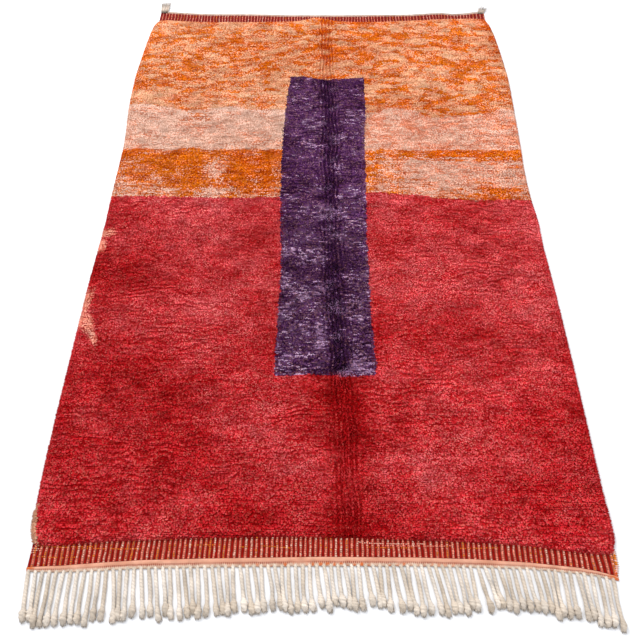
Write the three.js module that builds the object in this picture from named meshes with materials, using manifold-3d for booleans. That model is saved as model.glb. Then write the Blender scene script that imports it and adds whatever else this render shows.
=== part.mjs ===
// Hand-knotted wool rug of the Beni Mrirt kind, lying flat on the floor.
// X runs across the rug, Y along it and Z up from the floor, in millimetres.
// The fringed end points to -Y. The origin is under the middle of the whole rug, fringe included.

import * as THREE from "three";
import { mergeVertices } from "three/addons/utils/BufferGeometryUtils.js";
import Module from "manifold-3d";

// Heights above the floor
const PILE_HEIGHT = 23;
const FLAT_WEAVE_HEIGHT = 5;
const HEM_HEIGHT = 8;

// Clear space between neighbouring pieces
const PIECE_GAP = 0.3;

// Surface grid of the pile: cells across and along, and the cell line that follows the crease
const PILE_CELLS_ACROSS = 31;
const PILE_CELLS_ALONG = 46;
const CREASE_COLUMN = 16;

// Rim of the pile: the ground stands in from the locks, which hang out over the flat ends
const GROUND_INSET = 10;
const GROUND_CLEARANCE = 5.9;
const LOCK_TIP_HEIGHT = 9;
const LOCK_SHOULDER_HEIGHT = 17;
const LOCK_SHOULDER_INSET = 7;
const SURFACE_INSET = 26;
const LOCK_REACH = 5;
const LOCK_UNEVENNESS = 3;
const CORNER_SOFTENING = 2;

// Unevenness of the pile's upper surface
const SWELL_HEIGHT = 1.1;
const LUMP_HEIGHT = 1.3;
const CREASE_DEPTH = 5;
const CREASE_SHOULDER = 1.2;

// Fringe: knotted warp cords that come out of the near hem
const CORD_COUNT = 84;
const CORD_SPAN = { left: -897, right: 897 };
const CORD_WIDTH = 12;
const CORD_HEIGHT = 10;
const CORD_ROOT_DEPTH = 6;
const CORD_CLEARANCE = 1.5;
const CORD_BOW = 3;
const KNOT_WIDTH = 17;
const KNOT_HEIGHT = 14;
const KNOT_LENGTH = 20;
const BRUSH_LENGTH = 14;

// Side edges of the pile at stations along the rug
const SIDES = [
  { y: -1445, left: -906, right: 919 },
  { y: -1356, left: -919, right: 929 },
  { y: -1199, left: -928, right: 927 },
  { y: -967, left: -932, right: 928 },
  { y: -706, left: -933, right: 929 },
  { y: -409, left: -934, right: 927 },
  { y: -159, left: -929, right: 921 },
  { y: -60, left: -927, right: 929 },
  { y: 30, left: -931, right: 917 },
  { y: 219, left: -931, right: 915 },
  { y: 431, left: -933, right: 927 },
  { y: 660, left: -956, right: 936 },
  { y: 909, left: -963, right: 945 },
  { y: 1181, left: -949, right: 933 },
  { y: 1327, left: -938, right: 921 },
  { y: 1420, left: -921, right: 902 },
];

// End edges of the pile at stations across the rug
const PILE_ENDS = [
  { x: -930, near: -1436, far: 1409 },
  { x: -867, near: -1427, far: 1403 },
  { x: -678, near: -1410, far: 1386 },
  { x: -377, near: -1398, far: 1388 },
  { x: -130, near: -1393, far: 1398 },
  { x: -35, near: -1392, far: 1438 },
  { x: 60, near: -1393, far: 1398 },
  { x: 250, near: -1398, far: 1393 },
  { x: 440, near: -1402, far: 1405 },
  { x: 641, near: -1413, far: 1424 },
  { x: 867, near: -1438, far: 1431 },
  { x: 930, near: -1450, far: 1432 },
];

// Near end: where the striped flat weave stops, and where the cords leave the hem
const NEAR_END = [
  { x: -910, weave: -1485, cords: -1494 },
  { x: -800, weave: -1480, cords: -1495 },
  { x: -680, weave: -1470, cords: -1490 },
  { x: -560, weave: -1462, cords: -1483 },
  { x: -370, weave: -1456, cords: -1478 },
  { x: 0, weave: -1448, cords: -1471 },
  { x: 300, weave: -1448, cords: -1470 },
  { x: 480, weave: -1452, cords: -1472 },
  { x: 640, weave: -1460, cords: -1476 },
  { x: 800, weave: -1475, cords: -1488 },
  { x: 860, weave: -1486, cords: -1497 },
  { x: 920, weave: -1502, cords: -1511 },
];

// Far end: outer edge of the folded hem
const FAR_END = [
  { x: -910, hem: 1503 },
  { x: -850, hem: 1496 },
  { x: -748, hem: 1486 },
  { x: -640, hem: 1478 },
  { x: -400, hem: 1479 },
  { x: -214, hem: 1471 },
  { x: 120, hem: 1472 },
  { x: 300, hem: 1478 },
  { x: 480, hem: 1480 },
  { x: 600, hem: 1494 },
  { x: 657, hem: 1499 },
  { x: 739, hem: 1487 },
  { x: 797, hem: 1496 },
  { x: 840, hem: 1506 },
  { x: 910, hem: 1512 },
];
const FLAT_ENDS = {
  near: { left: -904, right: 913 },
  far: { left: -913, right: 899 },
};
const FAR_HEM_WIDTH = 16;

// The lengthwise crease that runs down the middle of the pile
const CREASE = [
  { y: -1420, x: 95 },
  { y: -994, x: 83 },
  { y: -486, x: 52 },
  { y: 46, x: 37 },
  { y: 569, x: 29 },
  { y: 1380, x: 6 },
];

// Soft waves left in the pile where the cloth doesn't lie quite flat; a low one has a height under 0
const WAVES = [
  { x: 300, y: -40, halfLength: 330, halfWidth: 60, height: -4, slant: -0.08 },
  { x: 560, y: -100, halfLength: 420, halfWidth: 60, height: 4, slant: -0.08 },
  { x: 270, y: -170, halfLength: 260, halfWidth: 55, height: -3, slant: -0.05 },
  { x: 860, y: -60, halfLength: 150, halfWidth: 80, height: 3, slant: 0 },
  { x: 760, y: -230, halfLength: 300, halfWidth: 70, height: -2, slant: 0.06 },
  { x: 690, y: 1320, halfLength: 160, halfWidth: 90, height: 3, slant: 0 },
];

// How the cords lie, at stations along the hem: lean towards +X in degrees, and length
const CORD_LAY = [
  { x: -897, lean: 2, length: 144 },
  { x: -840, lean: 2, length: 158 },
  { x: -770, lean: 3, length: 156 },
  { x: -720, lean: 4, length: 160 },
  { x: -640, lean: 7, length: 150 },
  { x: -560, lean: 8, length: 152 },
  { x: -470, lean: 10, length: 148 },
  { x: -340, lean: 9, length: 148 },
  { x: -270, lean: 8, length: 134 },
  { x: -170, lean: 6, length: 138 },
  { x: -70, lean: 8, length: 140 },
  { x: 60, lean: 11, length: 128 },
  { x: 200, lean: 8, length: 134 },
  { x: 330, lean: 7, length: 150 },
  { x: 480, lean: 10, length: 132 },
  { x: 600, lean: 6, length: 130 },
  { x: 720, lean: 3, length: 140 },
  { x: 790, lean: 1, length: 138 },
  { x: 840, lean: -1, length: 146 },
  { x: 897, lean: -3, length: 154 },
];

// Tufts at the far corners: place and width of the head, and how the locks fan out in degrees
const CORNER_TUFTS = [
  { name: "corner_tuft_left", x: -892, headWidth: 38, locks: 6, fan: 8, middleLean: -1, length: 84 },
  { name: "corner_tuft_right", x: 876, headWidth: 26, locks: 4, fan: 10, middleLean: 24, length: 54 },
];
const TUFT_LOCK_WIDTH = 7;
const TUFT_HEAD_DEPTH = 12;
const TUFT_HEAD_HEIGHT = 10;

// Colours, as hexadecimal red, green and blue
const PILE_RED = 0xa82630;
const WEAVE_RED = 0x9a3a3c;
const CREAM = 0xdcc7b0;
const PALE_CREAM = 0xd9cdbf;

const wasm = await Module();
wasm.setup();

const lerp = THREE.MathUtils.lerp;

// A repeatable source of numbers from -1 to 1
function unevenness(seed) {
  let state = seed;
  return () => {
    state = (state * 1664525 + 1013904223) % 4294967296;
    return (state / 4294967296) * 2 - 1;
  };
}

// Value of one column of a table, read between its rows at a place given by another column
function read(table, key, place, column) {
  const last = table.length - 1;
  if (place <= table[0][key]) return table[0][column];
  if (place >= table[last][key]) return table[last][column];
  const next = table.findIndex((row) => row[key] >= place);
  const before = table[next - 1];
  const after = table[next];
  const part = (place - before[key]) / (after[key] - before[key]);
  return lerp(before[column], after[column], part);
}

// A solid's geometry from its points and its triangles
function solidGeometry(points, triangles) {
  const geometry = new THREE.BufferGeometry();
  geometry.setAttribute("position", new THREE.Float32BufferAttribute(points.flatMap((p) => p.toArray()), 3));
  geometry.setIndex(triangles.flat());
  return geometry;
}

function namedMesh(name, geometry, color, roughness) {
  geometry.computeVertexNormals();
  const mesh = new THREE.Mesh(geometry, new THREE.MeshStandardMaterial({ color, roughness, metalness: 0 }));
  mesh.name = name;
  return mesh;
}

// Closed solid carried along sections that all have the same number of points.
// Each section runs counter-clockwise as seen from its first end.
function loft(sections) {
  const count = sections[0].length;
  const points = sections.flat();
  const triangles = [];
  for (let s = 0; s < sections.length - 1; s += 1) {
    for (let i = 0; i < count; i += 1) {
      const a = s * count + i;
      const b = s * count + ((i + 1) % count);
      triangles.push([a, b, b + count], [a, b + count, a + count]);
    }
  }
  const lastSection = (sections.length - 1) * count;
  for (let i = 1; i < count - 1; i += 1) {
    triangles.push([0, i + 1, i]);
    triangles.push([lastSection, lastSection + i, lastSection + i + 1]);
  }
  return solidGeometry(points, triangles);
}

// Outline of the pile, counter-clockwise from its near left corner, with softened corners
function pileOutline() {
  const across = 2 * PILE_CELLS_ACROSS;
  const along = 2 * PILE_CELLS_ALONG;
  const near = SIDES[0];
  const far = SIDES[SIDES.length - 1];
  let outline = [];
  for (let i = 0; i < across; i += 1) {
    const x = lerp(near.left, near.right, i / across);
    outline.push(new THREE.Vector2(x, read(PILE_ENDS, "x", x, "near")));
  }
  const rightNear = read(PILE_ENDS, "x", near.right, "near");
  const rightFar = read(PILE_ENDS, "x", far.right, "far");
  for (let i = 0; i < along; i += 1) {
    const y = lerp(rightNear, rightFar, i / along);
    outline.push(new THREE.Vector2(read(SIDES, "y", y, "right"), y));
  }
  for (let i = 0; i < across; i += 1) {
    const x = lerp(far.right, far.left, i / across);
    outline.push(new THREE.Vector2(x, read(PILE_ENDS, "x", x, "far")));
  }
  const leftNear = read(PILE_ENDS, "x", near.left, "near");
  const leftFar = read(PILE_ENDS, "x", far.left, "far");
  for (let i = 0; i < along; i += 1) {
    const y = lerp(leftFar, leftNear, i / along);
    outline.push(new THREE.Vector2(read(SIDES, "y", y, "left"), y));
  }
  for (let pass = 0; pass < CORNER_SOFTENING; pass += 1) {
    outline = outline.map((point, i) => {
      const before = outline[(i + outline.length - 1) % outline.length];
      const after = outline[(i + 1) % outline.length];
      return point.clone().multiplyScalar(2).add(before).add(after).divideScalar(4);
    });
  }
  return outline;
}

// The outline moved inwards by a distance for each point
function inset(outline, distance) {
  return outline.map((point, i) => {
    const before = outline[(i + outline.length - 1) % outline.length];
    const after = outline[(i + 1) % outline.length];
    const run = after.clone().sub(before).normalize();
    return new THREE.Vector2(point.x - run.y * distance(i), point.y + run.x * distance(i));
  });
}

const everySecond = (ring) => ring.filter((_, i) => i % 2 === 0);

// Triangles between two rings with the same number of points, the lower ring first
function band(lower, upper, count) {
  const triangles = [];
  for (let i = 0; i < count; i += 1) {
    const next = (i + 1) % count;
    triangles.push([lower + i, lower + next, upper + next], [lower + i, upper + next, upper + i]);
  }
  return triangles;
}

// Triangles between a coarse ring and a ring twice as fine, on either side of it
function stepBand(coarse, fine, count, fineIsAbove) {
  const triangles = [];
  for (let i = 0; i < count; i += 1) {
    const next = (i + 1) % count;
    const middle = fine + 2 * i + 1;
    triangles.push([coarse + i, middle, fine + 2 * i]);
    triangles.push([coarse + i, coarse + next, middle]);
    triangles.push([coarse + next, fine + 2 * next, middle]);
  }
  return fineIsAbove ? triangles : triangles.map(([a, b, c]) => [a, c, b]);
}

// Height of the pile's surface, with its swells, waves and lumps
function pileHeight(x, y, lump) {
  const swell = Math.sin(x / 137 + y / 411) + Math.sin(y / 98 - x / 523) + Math.sin((x + y) / 189);
  let height = PILE_HEIGHT + SWELL_HEIGHT * swell + LUMP_HEIGHT * lump;
  for (const wave of WAVES) {
    const alongWave = (x - wave.x) / wave.halfLength;
    const acrossWave = (y - wave.y - wave.slant * (x - wave.x)) / wave.halfWidth;
    height += wave.height * Math.exp(-(alongWave ** 2) - acrossWave ** 2);
  }
  return height;
}

// Points of the pile's surface grid, filled in between the four sides of a ring
function pileSurface(ring) {
  const cornerRight = PILE_CELLS_ACROSS;
  const cornerFar = PILE_CELLS_ACROSS + PILE_CELLS_ALONG;
  const cornerLeft = 2 * PILE_CELLS_ACROSS + PILE_CELLS_ALONG;
  const at = (i) => ring[i % ring.length];
  const lump = unevenness(11);
  const points = [];
  for (let row = 0; row <= PILE_CELLS_ALONG; row += 1) {
    for (let column = 0; column <= PILE_CELLS_ACROSS; column += 1) {
      const u = column / PILE_CELLS_ACROSS;
      const v = row / PILE_CELLS_ALONG;
      const near = at(column);
      const far = at(cornerLeft - column);
      const left = at(cornerLeft + PILE_CELLS_ALONG - row);
      const right = at(cornerRight + row);
      const blend = (axis) =>
        lerp(near[axis], far[axis], v) + lerp(left[axis], right[axis], u)
        - lerp(
          lerp(at(0)[axis], at(cornerRight)[axis], u),
          lerp(at(cornerLeft)[axis], at(cornerFar)[axis], u),
          v,
        );
      let x = blend("x");
      const y = blend("y");
      const onRim = column === 0 || row === 0 || column === PILE_CELLS_ACROSS || row === PILE_CELLS_ALONG;
      const creasePull = column < CREASE_COLUMN
        ? column / CREASE_COLUMN
        : (PILE_CELLS_ACROSS - column) / (PILE_CELLS_ACROSS - CREASE_COLUMN);
      if (!onRim) {
        const creaseX = read(CREASE, "y", y, "x");
        const columnX = lerp(left.x, right.x, CREASE_COLUMN / PILE_CELLS_ACROSS);
        x += (creaseX - columnX) * creasePull;
      }
      let z = onRim ? PILE_HEIGHT - 1 : pileHeight(x, y, lump());
      if (!onRim && column === CREASE_COLUMN) z -= CREASE_DEPTH;
      if (!onRim && Math.abs(column - CREASE_COLUMN) === 1) z += CREASE_SHOULDER;
      points.push(new THREE.Vector3(x, y, z));
    }
  }
  return points;
}

// Number of a surface grid point for each place round the rim, in the ring's order
function surfaceRim() {
  const width = PILE_CELLS_ACROSS + 1;
  const rim = [];
  for (let i = 0; i < PILE_CELLS_ACROSS; i += 1) rim.push(i);
  for (let i = 0; i < PILE_CELLS_ALONG; i += 1) rim.push(i * width + PILE_CELLS_ACROSS);
  for (let i = 0; i < PILE_CELLS_ACROSS; i += 1) rim.push(PILE_CELLS_ALONG * width + PILE_CELLS_ACROSS - i);
  for (let i = 0; i < PILE_CELLS_ALONG; i += 1) rim.push((PILE_CELLS_ALONG - i) * width);
  return rim;
}

// The pile: a lumpy slab on its ground, with locks standing out round its rim
function pileField(outline) {
  const uneven = unevenness(5);
  const isTip = (i) => i % 2 === 1;
  const lockReach = outline.map((_, i) => (isTip(i) ? LOCK_REACH : -LOCK_REACH) + LOCK_UNEVENNESS * uneven());
  const ground = everySecond(inset(outline, () => GROUND_INSET));
  const tips = inset(outline, (i) => -lockReach[i]);
  const shoulders = inset(outline, (i) => LOCK_SHOULDER_INSET - 0.6 * lockReach[i]);
  const surfaceRing = everySecond(inset(outline, () => SURFACE_INSET));

  const raise = (ring, height) => ring.map((p, i) => new THREE.Vector3(p.x, p.y, height(i)));
  const coarse = ground.length;
  const fine = outline.length;
  const points = [
    ...raise(ground, () => 0),
    ...raise(ground, () => GROUND_CLEARANCE),
    ...raise(tips, (i) => LOCK_TIP_HEIGHT + (isTip(i) ? -1 : 2)),
    ...raise(shoulders, (i) => LOCK_SHOULDER_HEIGHT + (isTip(i) ? 1.5 : -1)),
  ];
  const clearRing = coarse;
  const tipRing = 2 * coarse;
  const shoulderRing = tipRing + fine;
  const surfaceStart = points.length;
  points.push(...pileSurface(surfaceRing));

  const triangles = THREE.ShapeUtils.triangulateShape(ground, []).map(([a, b, c]) => [a, c, b]);
  triangles.push(...band(0, clearRing, coarse));
  triangles.push(...stepBand(clearRing, tipRing, coarse, true));
  triangles.push(...band(tipRing, shoulderRing, fine));

  const rim = surfaceRim();
  for (let i = 0; i < coarse; i += 1) {
    const next = (i + 1) % coarse;
    const here = surfaceStart + rim[i];
    const there = surfaceStart + rim[next];
    const lower = shoulderRing + 2 * i;
    const lowerNext = shoulderRing + 2 * next;
    triangles.push([lower, lower + 1, here], [here, lower + 1, there], [lower + 1, lowerNext, there]);
  }

  const width = PILE_CELLS_ACROSS + 1;
  for (let row = 0; row < PILE_CELLS_ALONG; row += 1) {
    for (let column = 0; column < PILE_CELLS_ACROSS; column += 1) {
      const a = surfaceStart + row * width + column;
      triangles.push([a, a + 1, a + 1 + width], [a, a + 1 + width, a + width]);
    }
  }
  return namedMesh("pile_field", solidGeometry(points, triangles), PILE_RED, 0.95);
}

// Stations across one flat end: the place across, and the edge of the ground under the pile
function flatEndStations(outline, end) {
  const ground = everySecond(inset(outline, () => GROUND_INSET));
  const firstCorner = end === "near" ? 0 : PILE_CELLS_ACROSS + PILE_CELLS_ALONG;
  const edge = ground.slice(firstCorner + 1, firstCorner + PILE_CELLS_ACROSS);
  if (end === "far") edge.reverse();
  const span = FLAT_ENDS[end];
  const first = { x: span.left, pile: edge[0].y };
  const last = { x: span.right, pile: edge[edge.length - 1].y };
  return [first, ...edge.map((p) => ({ x: p.x, pile: p.y })), last];
}

// The striped flat weave between the pile and the near hem
function kilimNear(stations) {
  const uneven = unevenness(21);
  const sections = stations.map(({ x, pile }) => {
    const outer = read(NEAR_END, "x", x, "weave");
    const inner = pile - PIECE_GAP;
    const middle = (outer + inner) / 2;
    return [
      new THREE.Vector3(x, inner, 0),
      new THREE.Vector3(x, inner, FLAT_WEAVE_HEIGHT),
      new THREE.Vector3(x, middle, FLAT_WEAVE_HEIGHT + 0.3 * uneven()),
      new THREE.Vector3(x, outer, FLAT_WEAVE_HEIGHT),
      new THREE.Vector3(x, outer, 0),
    ];
  });
  return namedMesh("kilim_near", loft(sections), WEAVE_RED, 0.9);
}

// The striped flat weave at the far end, with its own hem folded over at the edge
function kilimFar(stations) {
  const uneven = unevenness(31);
  const sections = stations.map(({ x, pile }) => {
    const outer = read(FAR_END, "x", x, "hem");
    const inner = pile + PIECE_GAP;
    const fold = outer - FAR_HEM_WIDTH;
    const crown = HEM_HEIGHT + 0.5 * uneven();
    return [
      new THREE.Vector3(x, outer, 0),
      new THREE.Vector3(x, outer, 0.45 * HEM_HEIGHT),
      new THREE.Vector3(x, outer - 0.3 * FAR_HEM_WIDTH, crown),
      new THREE.Vector3(x, fold, FLAT_WEAVE_HEIGHT + 0.6),
      new THREE.Vector3(x, (inner + fold) / 2, FLAT_WEAVE_HEIGHT + 0.3 * uneven()),
      new THREE.Vector3(x, inner, FLAT_WEAVE_HEIGHT),
      new THREE.Vector3(x, inner, 0),
    ];
  });
  return namedMesh("kilim_far", loft(sections), WEAVE_RED, 0.9);
}

// Four-sided strand lying on the floor from a start to an end, through steps that have
// a place along it, a sideways shift, a width and a height
function strand(start, end, steps) {
  const run = end.clone().sub(start);
  const length = run.length();
  run.normalize();
  const side = new THREE.Vector2(run.y, -run.x);
  const sections = steps.map((step) => {
    const middle = start.clone().addScaledVector(run, step.place * length + step.shift);
    middle.addScaledVector(side, step.bow);
    const corner = (across, up) =>
      new THREE.Vector3(middle.x + side.x * across, middle.y + side.y * across, up);
    return [
      corner(-0.42 * step.width, 0),
      corner(-0.5 * step.width, 0.55 * step.height),
      corner(0.1 * step.width, step.height),
      corner(0.5 * step.width, 0),
    ];
  });
  return loft(sections);
}

// Cord of the fringe: thin at its root, even along its length, with a knot and a short brush
function fringeCord(root, tip, bow) {
  const knot = -KNOT_LENGTH - BRUSH_LENGTH;
  const steps = [
    { place: 0, shift: -CORD_ROOT_DEPTH, bow: 0, width: 0.7 * CORD_WIDTH, height: 0.5 * CORD_HEIGHT },
    { place: 0, shift: 2, bow: 0, width: 0.9 * CORD_WIDTH, height: 0.7 * CORD_HEIGHT },
    { place: 0.45, shift: 0, bow, width: CORD_WIDTH, height: CORD_HEIGHT },
    { place: 1, shift: knot, bow: 0, width: CORD_WIDTH, height: CORD_HEIGHT },
    { place: 1, shift: knot + 0.5 * KNOT_LENGTH, bow: 0, width: KNOT_WIDTH, height: KNOT_HEIGHT },
    { place: 1, shift: -BRUSH_LENGTH, bow: 0, width: 0.8 * CORD_WIDTH, height: CORD_HEIGHT },
    { place: 1, shift: 0, bow: 0, width: 1.2 * CORD_WIDTH, height: 0.4 * CORD_HEIGHT },
  ];
  return strand(root, tip, steps);
}

function toManifold(geometry) {
  const bare = geometry.clone();
  bare.deleteAttribute("normal");
  bare.deleteAttribute("uv");
  const merged = mergeVertices(bare, 1e-4);
  return new wasm.Manifold(new wasm.Mesh({
    numProp: 3,
    vertProperties: new Float32Array(merged.attributes.position.array),
    triVerts: new Uint32Array(merged.index.array),
  }));
}

function fromManifold(solid) {
  const mesh = solid.getMesh();
  const geometry = new THREE.BufferGeometry();
  geometry.setAttribute("position", new THREE.Float32BufferAttribute(mesh.vertProperties, 3));
  geometry.setIndex(Array.from(mesh.triVerts));
  return geometry;
}

// Joins strands to the piece that their roots run into
function fuse(backing, strands) {
  const joined = strands.reduce((solid, piece) => solid.add(toManifold(piece)), toManifold(backing));
  return fromManifold(joined);
}

// The near hem: a narrow pale strip that holds the cords of the fringe
function hemStrip(stations) {
  const uneven = unevenness(41);
  const sections = stations.map(({ x }) => {
    const inner = read(NEAR_END, "x", x, "weave") - PIECE_GAP;
    const outer = read(NEAR_END, "x", x, "cords");
    const crown = HEM_HEIGHT + 0.4 * uneven();
    return [
      new THREE.Vector3(x, inner, 0),
      new THREE.Vector3(x, inner, 0.8 * HEM_HEIGHT),
      new THREE.Vector3(x, lerp(inner, outer, 0.35), crown),
      new THREE.Vector3(x, lerp(inner, outer, 0.8), 0.9 * HEM_HEIGHT),
      new THREE.Vector3(x, outer, 0.5 * HEM_HEIGHT),
      new THREE.Vector3(x, outer, 0),
    ];
  });
  return loft(sections);
}

// Root and tip of each cord; the tips are kept apart from one cord to the next
function cordPlaces() {
  const uneven = unevenness(51);
  const pitch = (CORD_SPAN.right - CORD_SPAN.left) / (CORD_COUNT - 1);
  const cords = [];
  let lastTip = -Infinity;
  for (let i = 0; i < CORD_COUNT; i += 1) {
    const x = CORD_SPAN.left + i * pitch + uneven();
    const root = new THREE.Vector2(x, read(NEAR_END, "x", x, "cords"));
    const lean = THREE.MathUtils.degToRad(read(CORD_LAY, "x", x, "lean") + 1.6 * uneven());
    const length = read(CORD_LAY, "x", x, "length") + 9 * uneven();
    const tipX = Math.max(x + length * Math.sin(lean), lastTip + KNOT_WIDTH + CORD_CLEARANCE);
    const tip = new THREE.Vector2(tipX, root.y - length * Math.cos(lean));
    cords.push({ root, tip, bow: CORD_BOW * uneven() });
    lastTip = tipX;
  }
  return cords;
}

function fringeNear(stations) {
  const cords = cordPlaces().map(({ root, tip, bow }) => fringeCord(root, tip, bow));
  return namedMesh("fringe_near", fuse(hemStrip(stations), cords), CREAM, 0.9);
}

// A tuft of warp ends at a far corner: a small head with locks that fan out from it
function cornerTuft(tuft) {
  const uneven = unevenness(61);
  const halfHead = tuft.headWidth / 2;
  const edges = [
    { x: tuft.x - halfHead, height: 0.6 * TUFT_HEAD_HEIGHT },
    { x: tuft.x, height: TUFT_HEAD_HEIGHT },
    { x: tuft.x + halfHead, height: 0.6 * TUFT_HEAD_HEIGHT },
  ];
  const headNear = (x) => read(FAR_END, "x", x, "hem") + PIECE_GAP;
  const head = loft(edges.map(({ x, height }) => [
    new THREE.Vector3(x, headNear(x) + TUFT_HEAD_DEPTH, 0),
    new THREE.Vector3(x, headNear(x) + TUFT_HEAD_DEPTH, 0.7 * height),
    new THREE.Vector3(x, headNear(x), height),
    new THREE.Vector3(x, headNear(x), 0),
  ]));
  const locks = [];
  for (let i = 0; i < tuft.locks; i += 1) {
    const part = i / (tuft.locks - 1) - 0.5;
    const rootX = tuft.x + part * (tuft.headWidth - TUFT_LOCK_WIDTH);
    const root = new THREE.Vector2(rootX, headNear(rootX) + TUFT_HEAD_DEPTH);
    const lean = THREE.MathUtils.degToRad(tuft.middleLean + 2 * part * tuft.fan);
    const length = tuft.length * (1 + 0.12 * uneven());
    const tip = new THREE.Vector2(root.x + length * Math.sin(lean), root.y + length * Math.cos(lean));
    const steps = [
      { place: 0, shift: -0.7 * TUFT_HEAD_DEPTH, bow: 0, width: 0.6 * TUFT_LOCK_WIDTH, height: 4 },
      { place: 0, shift: 2, bow: 0, width: 0.85 * TUFT_LOCK_WIDTH, height: 6 },
      { place: 0.6, shift: 0, bow: 0, width: TUFT_LOCK_WIDTH, height: 8 },
      { place: 1, shift: 0, bow: 0, width: 0.7 * TUFT_LOCK_WIDTH, height: 3 },
    ];
    locks.push(strand(root, tip, steps));
  }
  return namedMesh(tuft.name, fuse(head, locks), PALE_CREAM, 0.9);
}

const outline = pileOutline();
const nearStations = flatEndStations(outline, "near");
const farStations = flatEndStations(outline, "far");

const rug = new THREE.Group();
rug.add(pileField(outline));
rug.add(kilimNear(nearStations));
rug.add(kilimFar(farStations));
rug.add(fringeNear(nearStations));
for (const tuft of CORNER_TUFTS) rug.add(cornerTuft(tuft));

// Brings the middle of the whole rug over the origin
const bounds = new THREE.Box3().setFromObject(rug);
const middle = bounds.getCenter(new THREE.Vector3());
rug.position.set(-middle.x, -middle.y, -bounds.min.z);

const group = new THREE.Group();
group.add(rug);
export default group;
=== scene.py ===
"""A Beni Mrirt rug: wool pile knotted on a woven ground, striped flat ends and a fringe of cords.

Places on the rug are worked out in the loom's own millimetres: X across the rug and Y along it,
from a point near the rug's middle, with the fringed end at -Y. They become metres in the frame
only when a mesh is made.
"""

import logging
import math
from collections.abc import Callable
from dataclasses import dataclass, field
from enum import Enum

import bpy
import numpy as np
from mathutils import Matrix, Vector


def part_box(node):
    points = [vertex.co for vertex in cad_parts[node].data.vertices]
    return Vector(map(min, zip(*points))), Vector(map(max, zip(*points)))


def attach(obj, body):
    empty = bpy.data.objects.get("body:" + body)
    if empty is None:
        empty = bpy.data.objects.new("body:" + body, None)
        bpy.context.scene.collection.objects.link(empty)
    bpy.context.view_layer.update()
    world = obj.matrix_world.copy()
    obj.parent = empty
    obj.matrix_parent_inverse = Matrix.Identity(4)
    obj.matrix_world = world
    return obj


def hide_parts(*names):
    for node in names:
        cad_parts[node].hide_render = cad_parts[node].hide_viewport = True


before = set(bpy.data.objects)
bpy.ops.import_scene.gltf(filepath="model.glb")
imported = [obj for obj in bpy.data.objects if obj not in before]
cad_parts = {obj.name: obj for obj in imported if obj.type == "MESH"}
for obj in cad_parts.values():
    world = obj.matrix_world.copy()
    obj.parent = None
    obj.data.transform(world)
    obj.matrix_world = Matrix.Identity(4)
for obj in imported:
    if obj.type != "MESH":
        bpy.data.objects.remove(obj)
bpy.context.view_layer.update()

Array = np.ndarray
log = logging.getLogger("rug")

MM = 0.001

# How fast the hue, the tone and the light of wool fade in the painted shade between its fibres
HUE_FADE = 0.55
TONE_FADE = 0.45
LIGHT_FADE = 0.40

# Where two corners of the flat ends lie on the loom; they tie the loom's middle to the frame
NEAR_LEFT_X = -904.0
FAR_RIGHT_Y = 1511.06


def loom_origin() -> Array:
    """Finds the frame's place of the loom's middle, from the boxes of the two flat ends.

    Returns:
        The place in metres.
    """
    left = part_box("kilim_near")[0][0]
    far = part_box("kilim_far")[1][1]
    return np.array([left - NEAR_LEFT_X * MM, far - FAR_RIGHT_Y * MM, 0.0])


LOOM = loom_origin()


def dye(red: int, green: int, blue: int) -> Array:
    """Turns a colour as seen, from 0 to 255, into linear light.

    Args:
        red: The red part.
        green: The green part.
        blue: The blue part.

    Returns:
        The three linear parts, from 0 to 1.
    """
    seen = np.array([red, green, blue]) / 255
    return np.where(seen <= 0.04045, seen / 12.92, ((seen + 0.055) / 1.055) ** 2.4)


def lattice(column: Array, row: Array, seed: int) -> Array:
    """Gives each whole-numbered place a value of its own by mixing the bits of its numbers.

    Args:
        column: Whole numbers across.
        row: Whole numbers along.
        seed: Which set of values to use.

    Returns:
        Values from 0 to 1.
    """
    mixed = np.asarray(column, np.int64) * 374761393 + np.asarray(row, np.int64) * 668265263
    mixed = mixed + seed * 1442695041
    mixed = (mixed ^ (mixed >> 13)) * 1274126177
    mixed = mixed ^ (mixed >> 16)
    return (mixed & 0xFFFFFF) / 0xFFFFFF


def ripple(x: Array, y: Array, seed: int) -> Array:
    """Smooth unevenness: lattice values eased into each other in both directions.

    Args:
        x: Places across, in cells.
        y: Places along, in cells.
        seed: Which set of values to use.

    Returns:
        Values from -1 to 1.
    """
    column, row = np.floor(x), np.floor(y)
    across, along = x - column, y - row
    across = across * across * (3 - 2 * across)
    along = along * along * (3 - 2 * along)
    near = lattice(column, row, seed) * (1 - across) + lattice(column + 1, row, seed) * across
    far = lattice(column, row + 1, seed) * (1 - across) + lattice(column + 1, row + 1, seed) * across
    return (near * (1 - along) + far * along) * 2 - 1


def evened(values: Array) -> Array:
    """Spreads values evenly from 0 to 1 by their rank.

    Args:
        values: Any values.

    Returns:
        The rank of each, over their number.
    """
    rank = np.empty(len(values))
    rank[np.argsort(values, kind="stable")] = np.arange(len(values))
    return rank / max(len(values), 1)


def blended(first: Array, second: Array, part: Array) -> Array:
    """Mixes two colours row by row.

    Args:
        first: Colour where part is 0.
        second: Colour where part is 1.
        part: Shares of the second, one for each row.

    Returns:
        One colour for each row.
    """
    share = np.clip(np.asarray(part), 0, 1)[..., None]
    return first * (1 - share) + second * share


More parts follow.
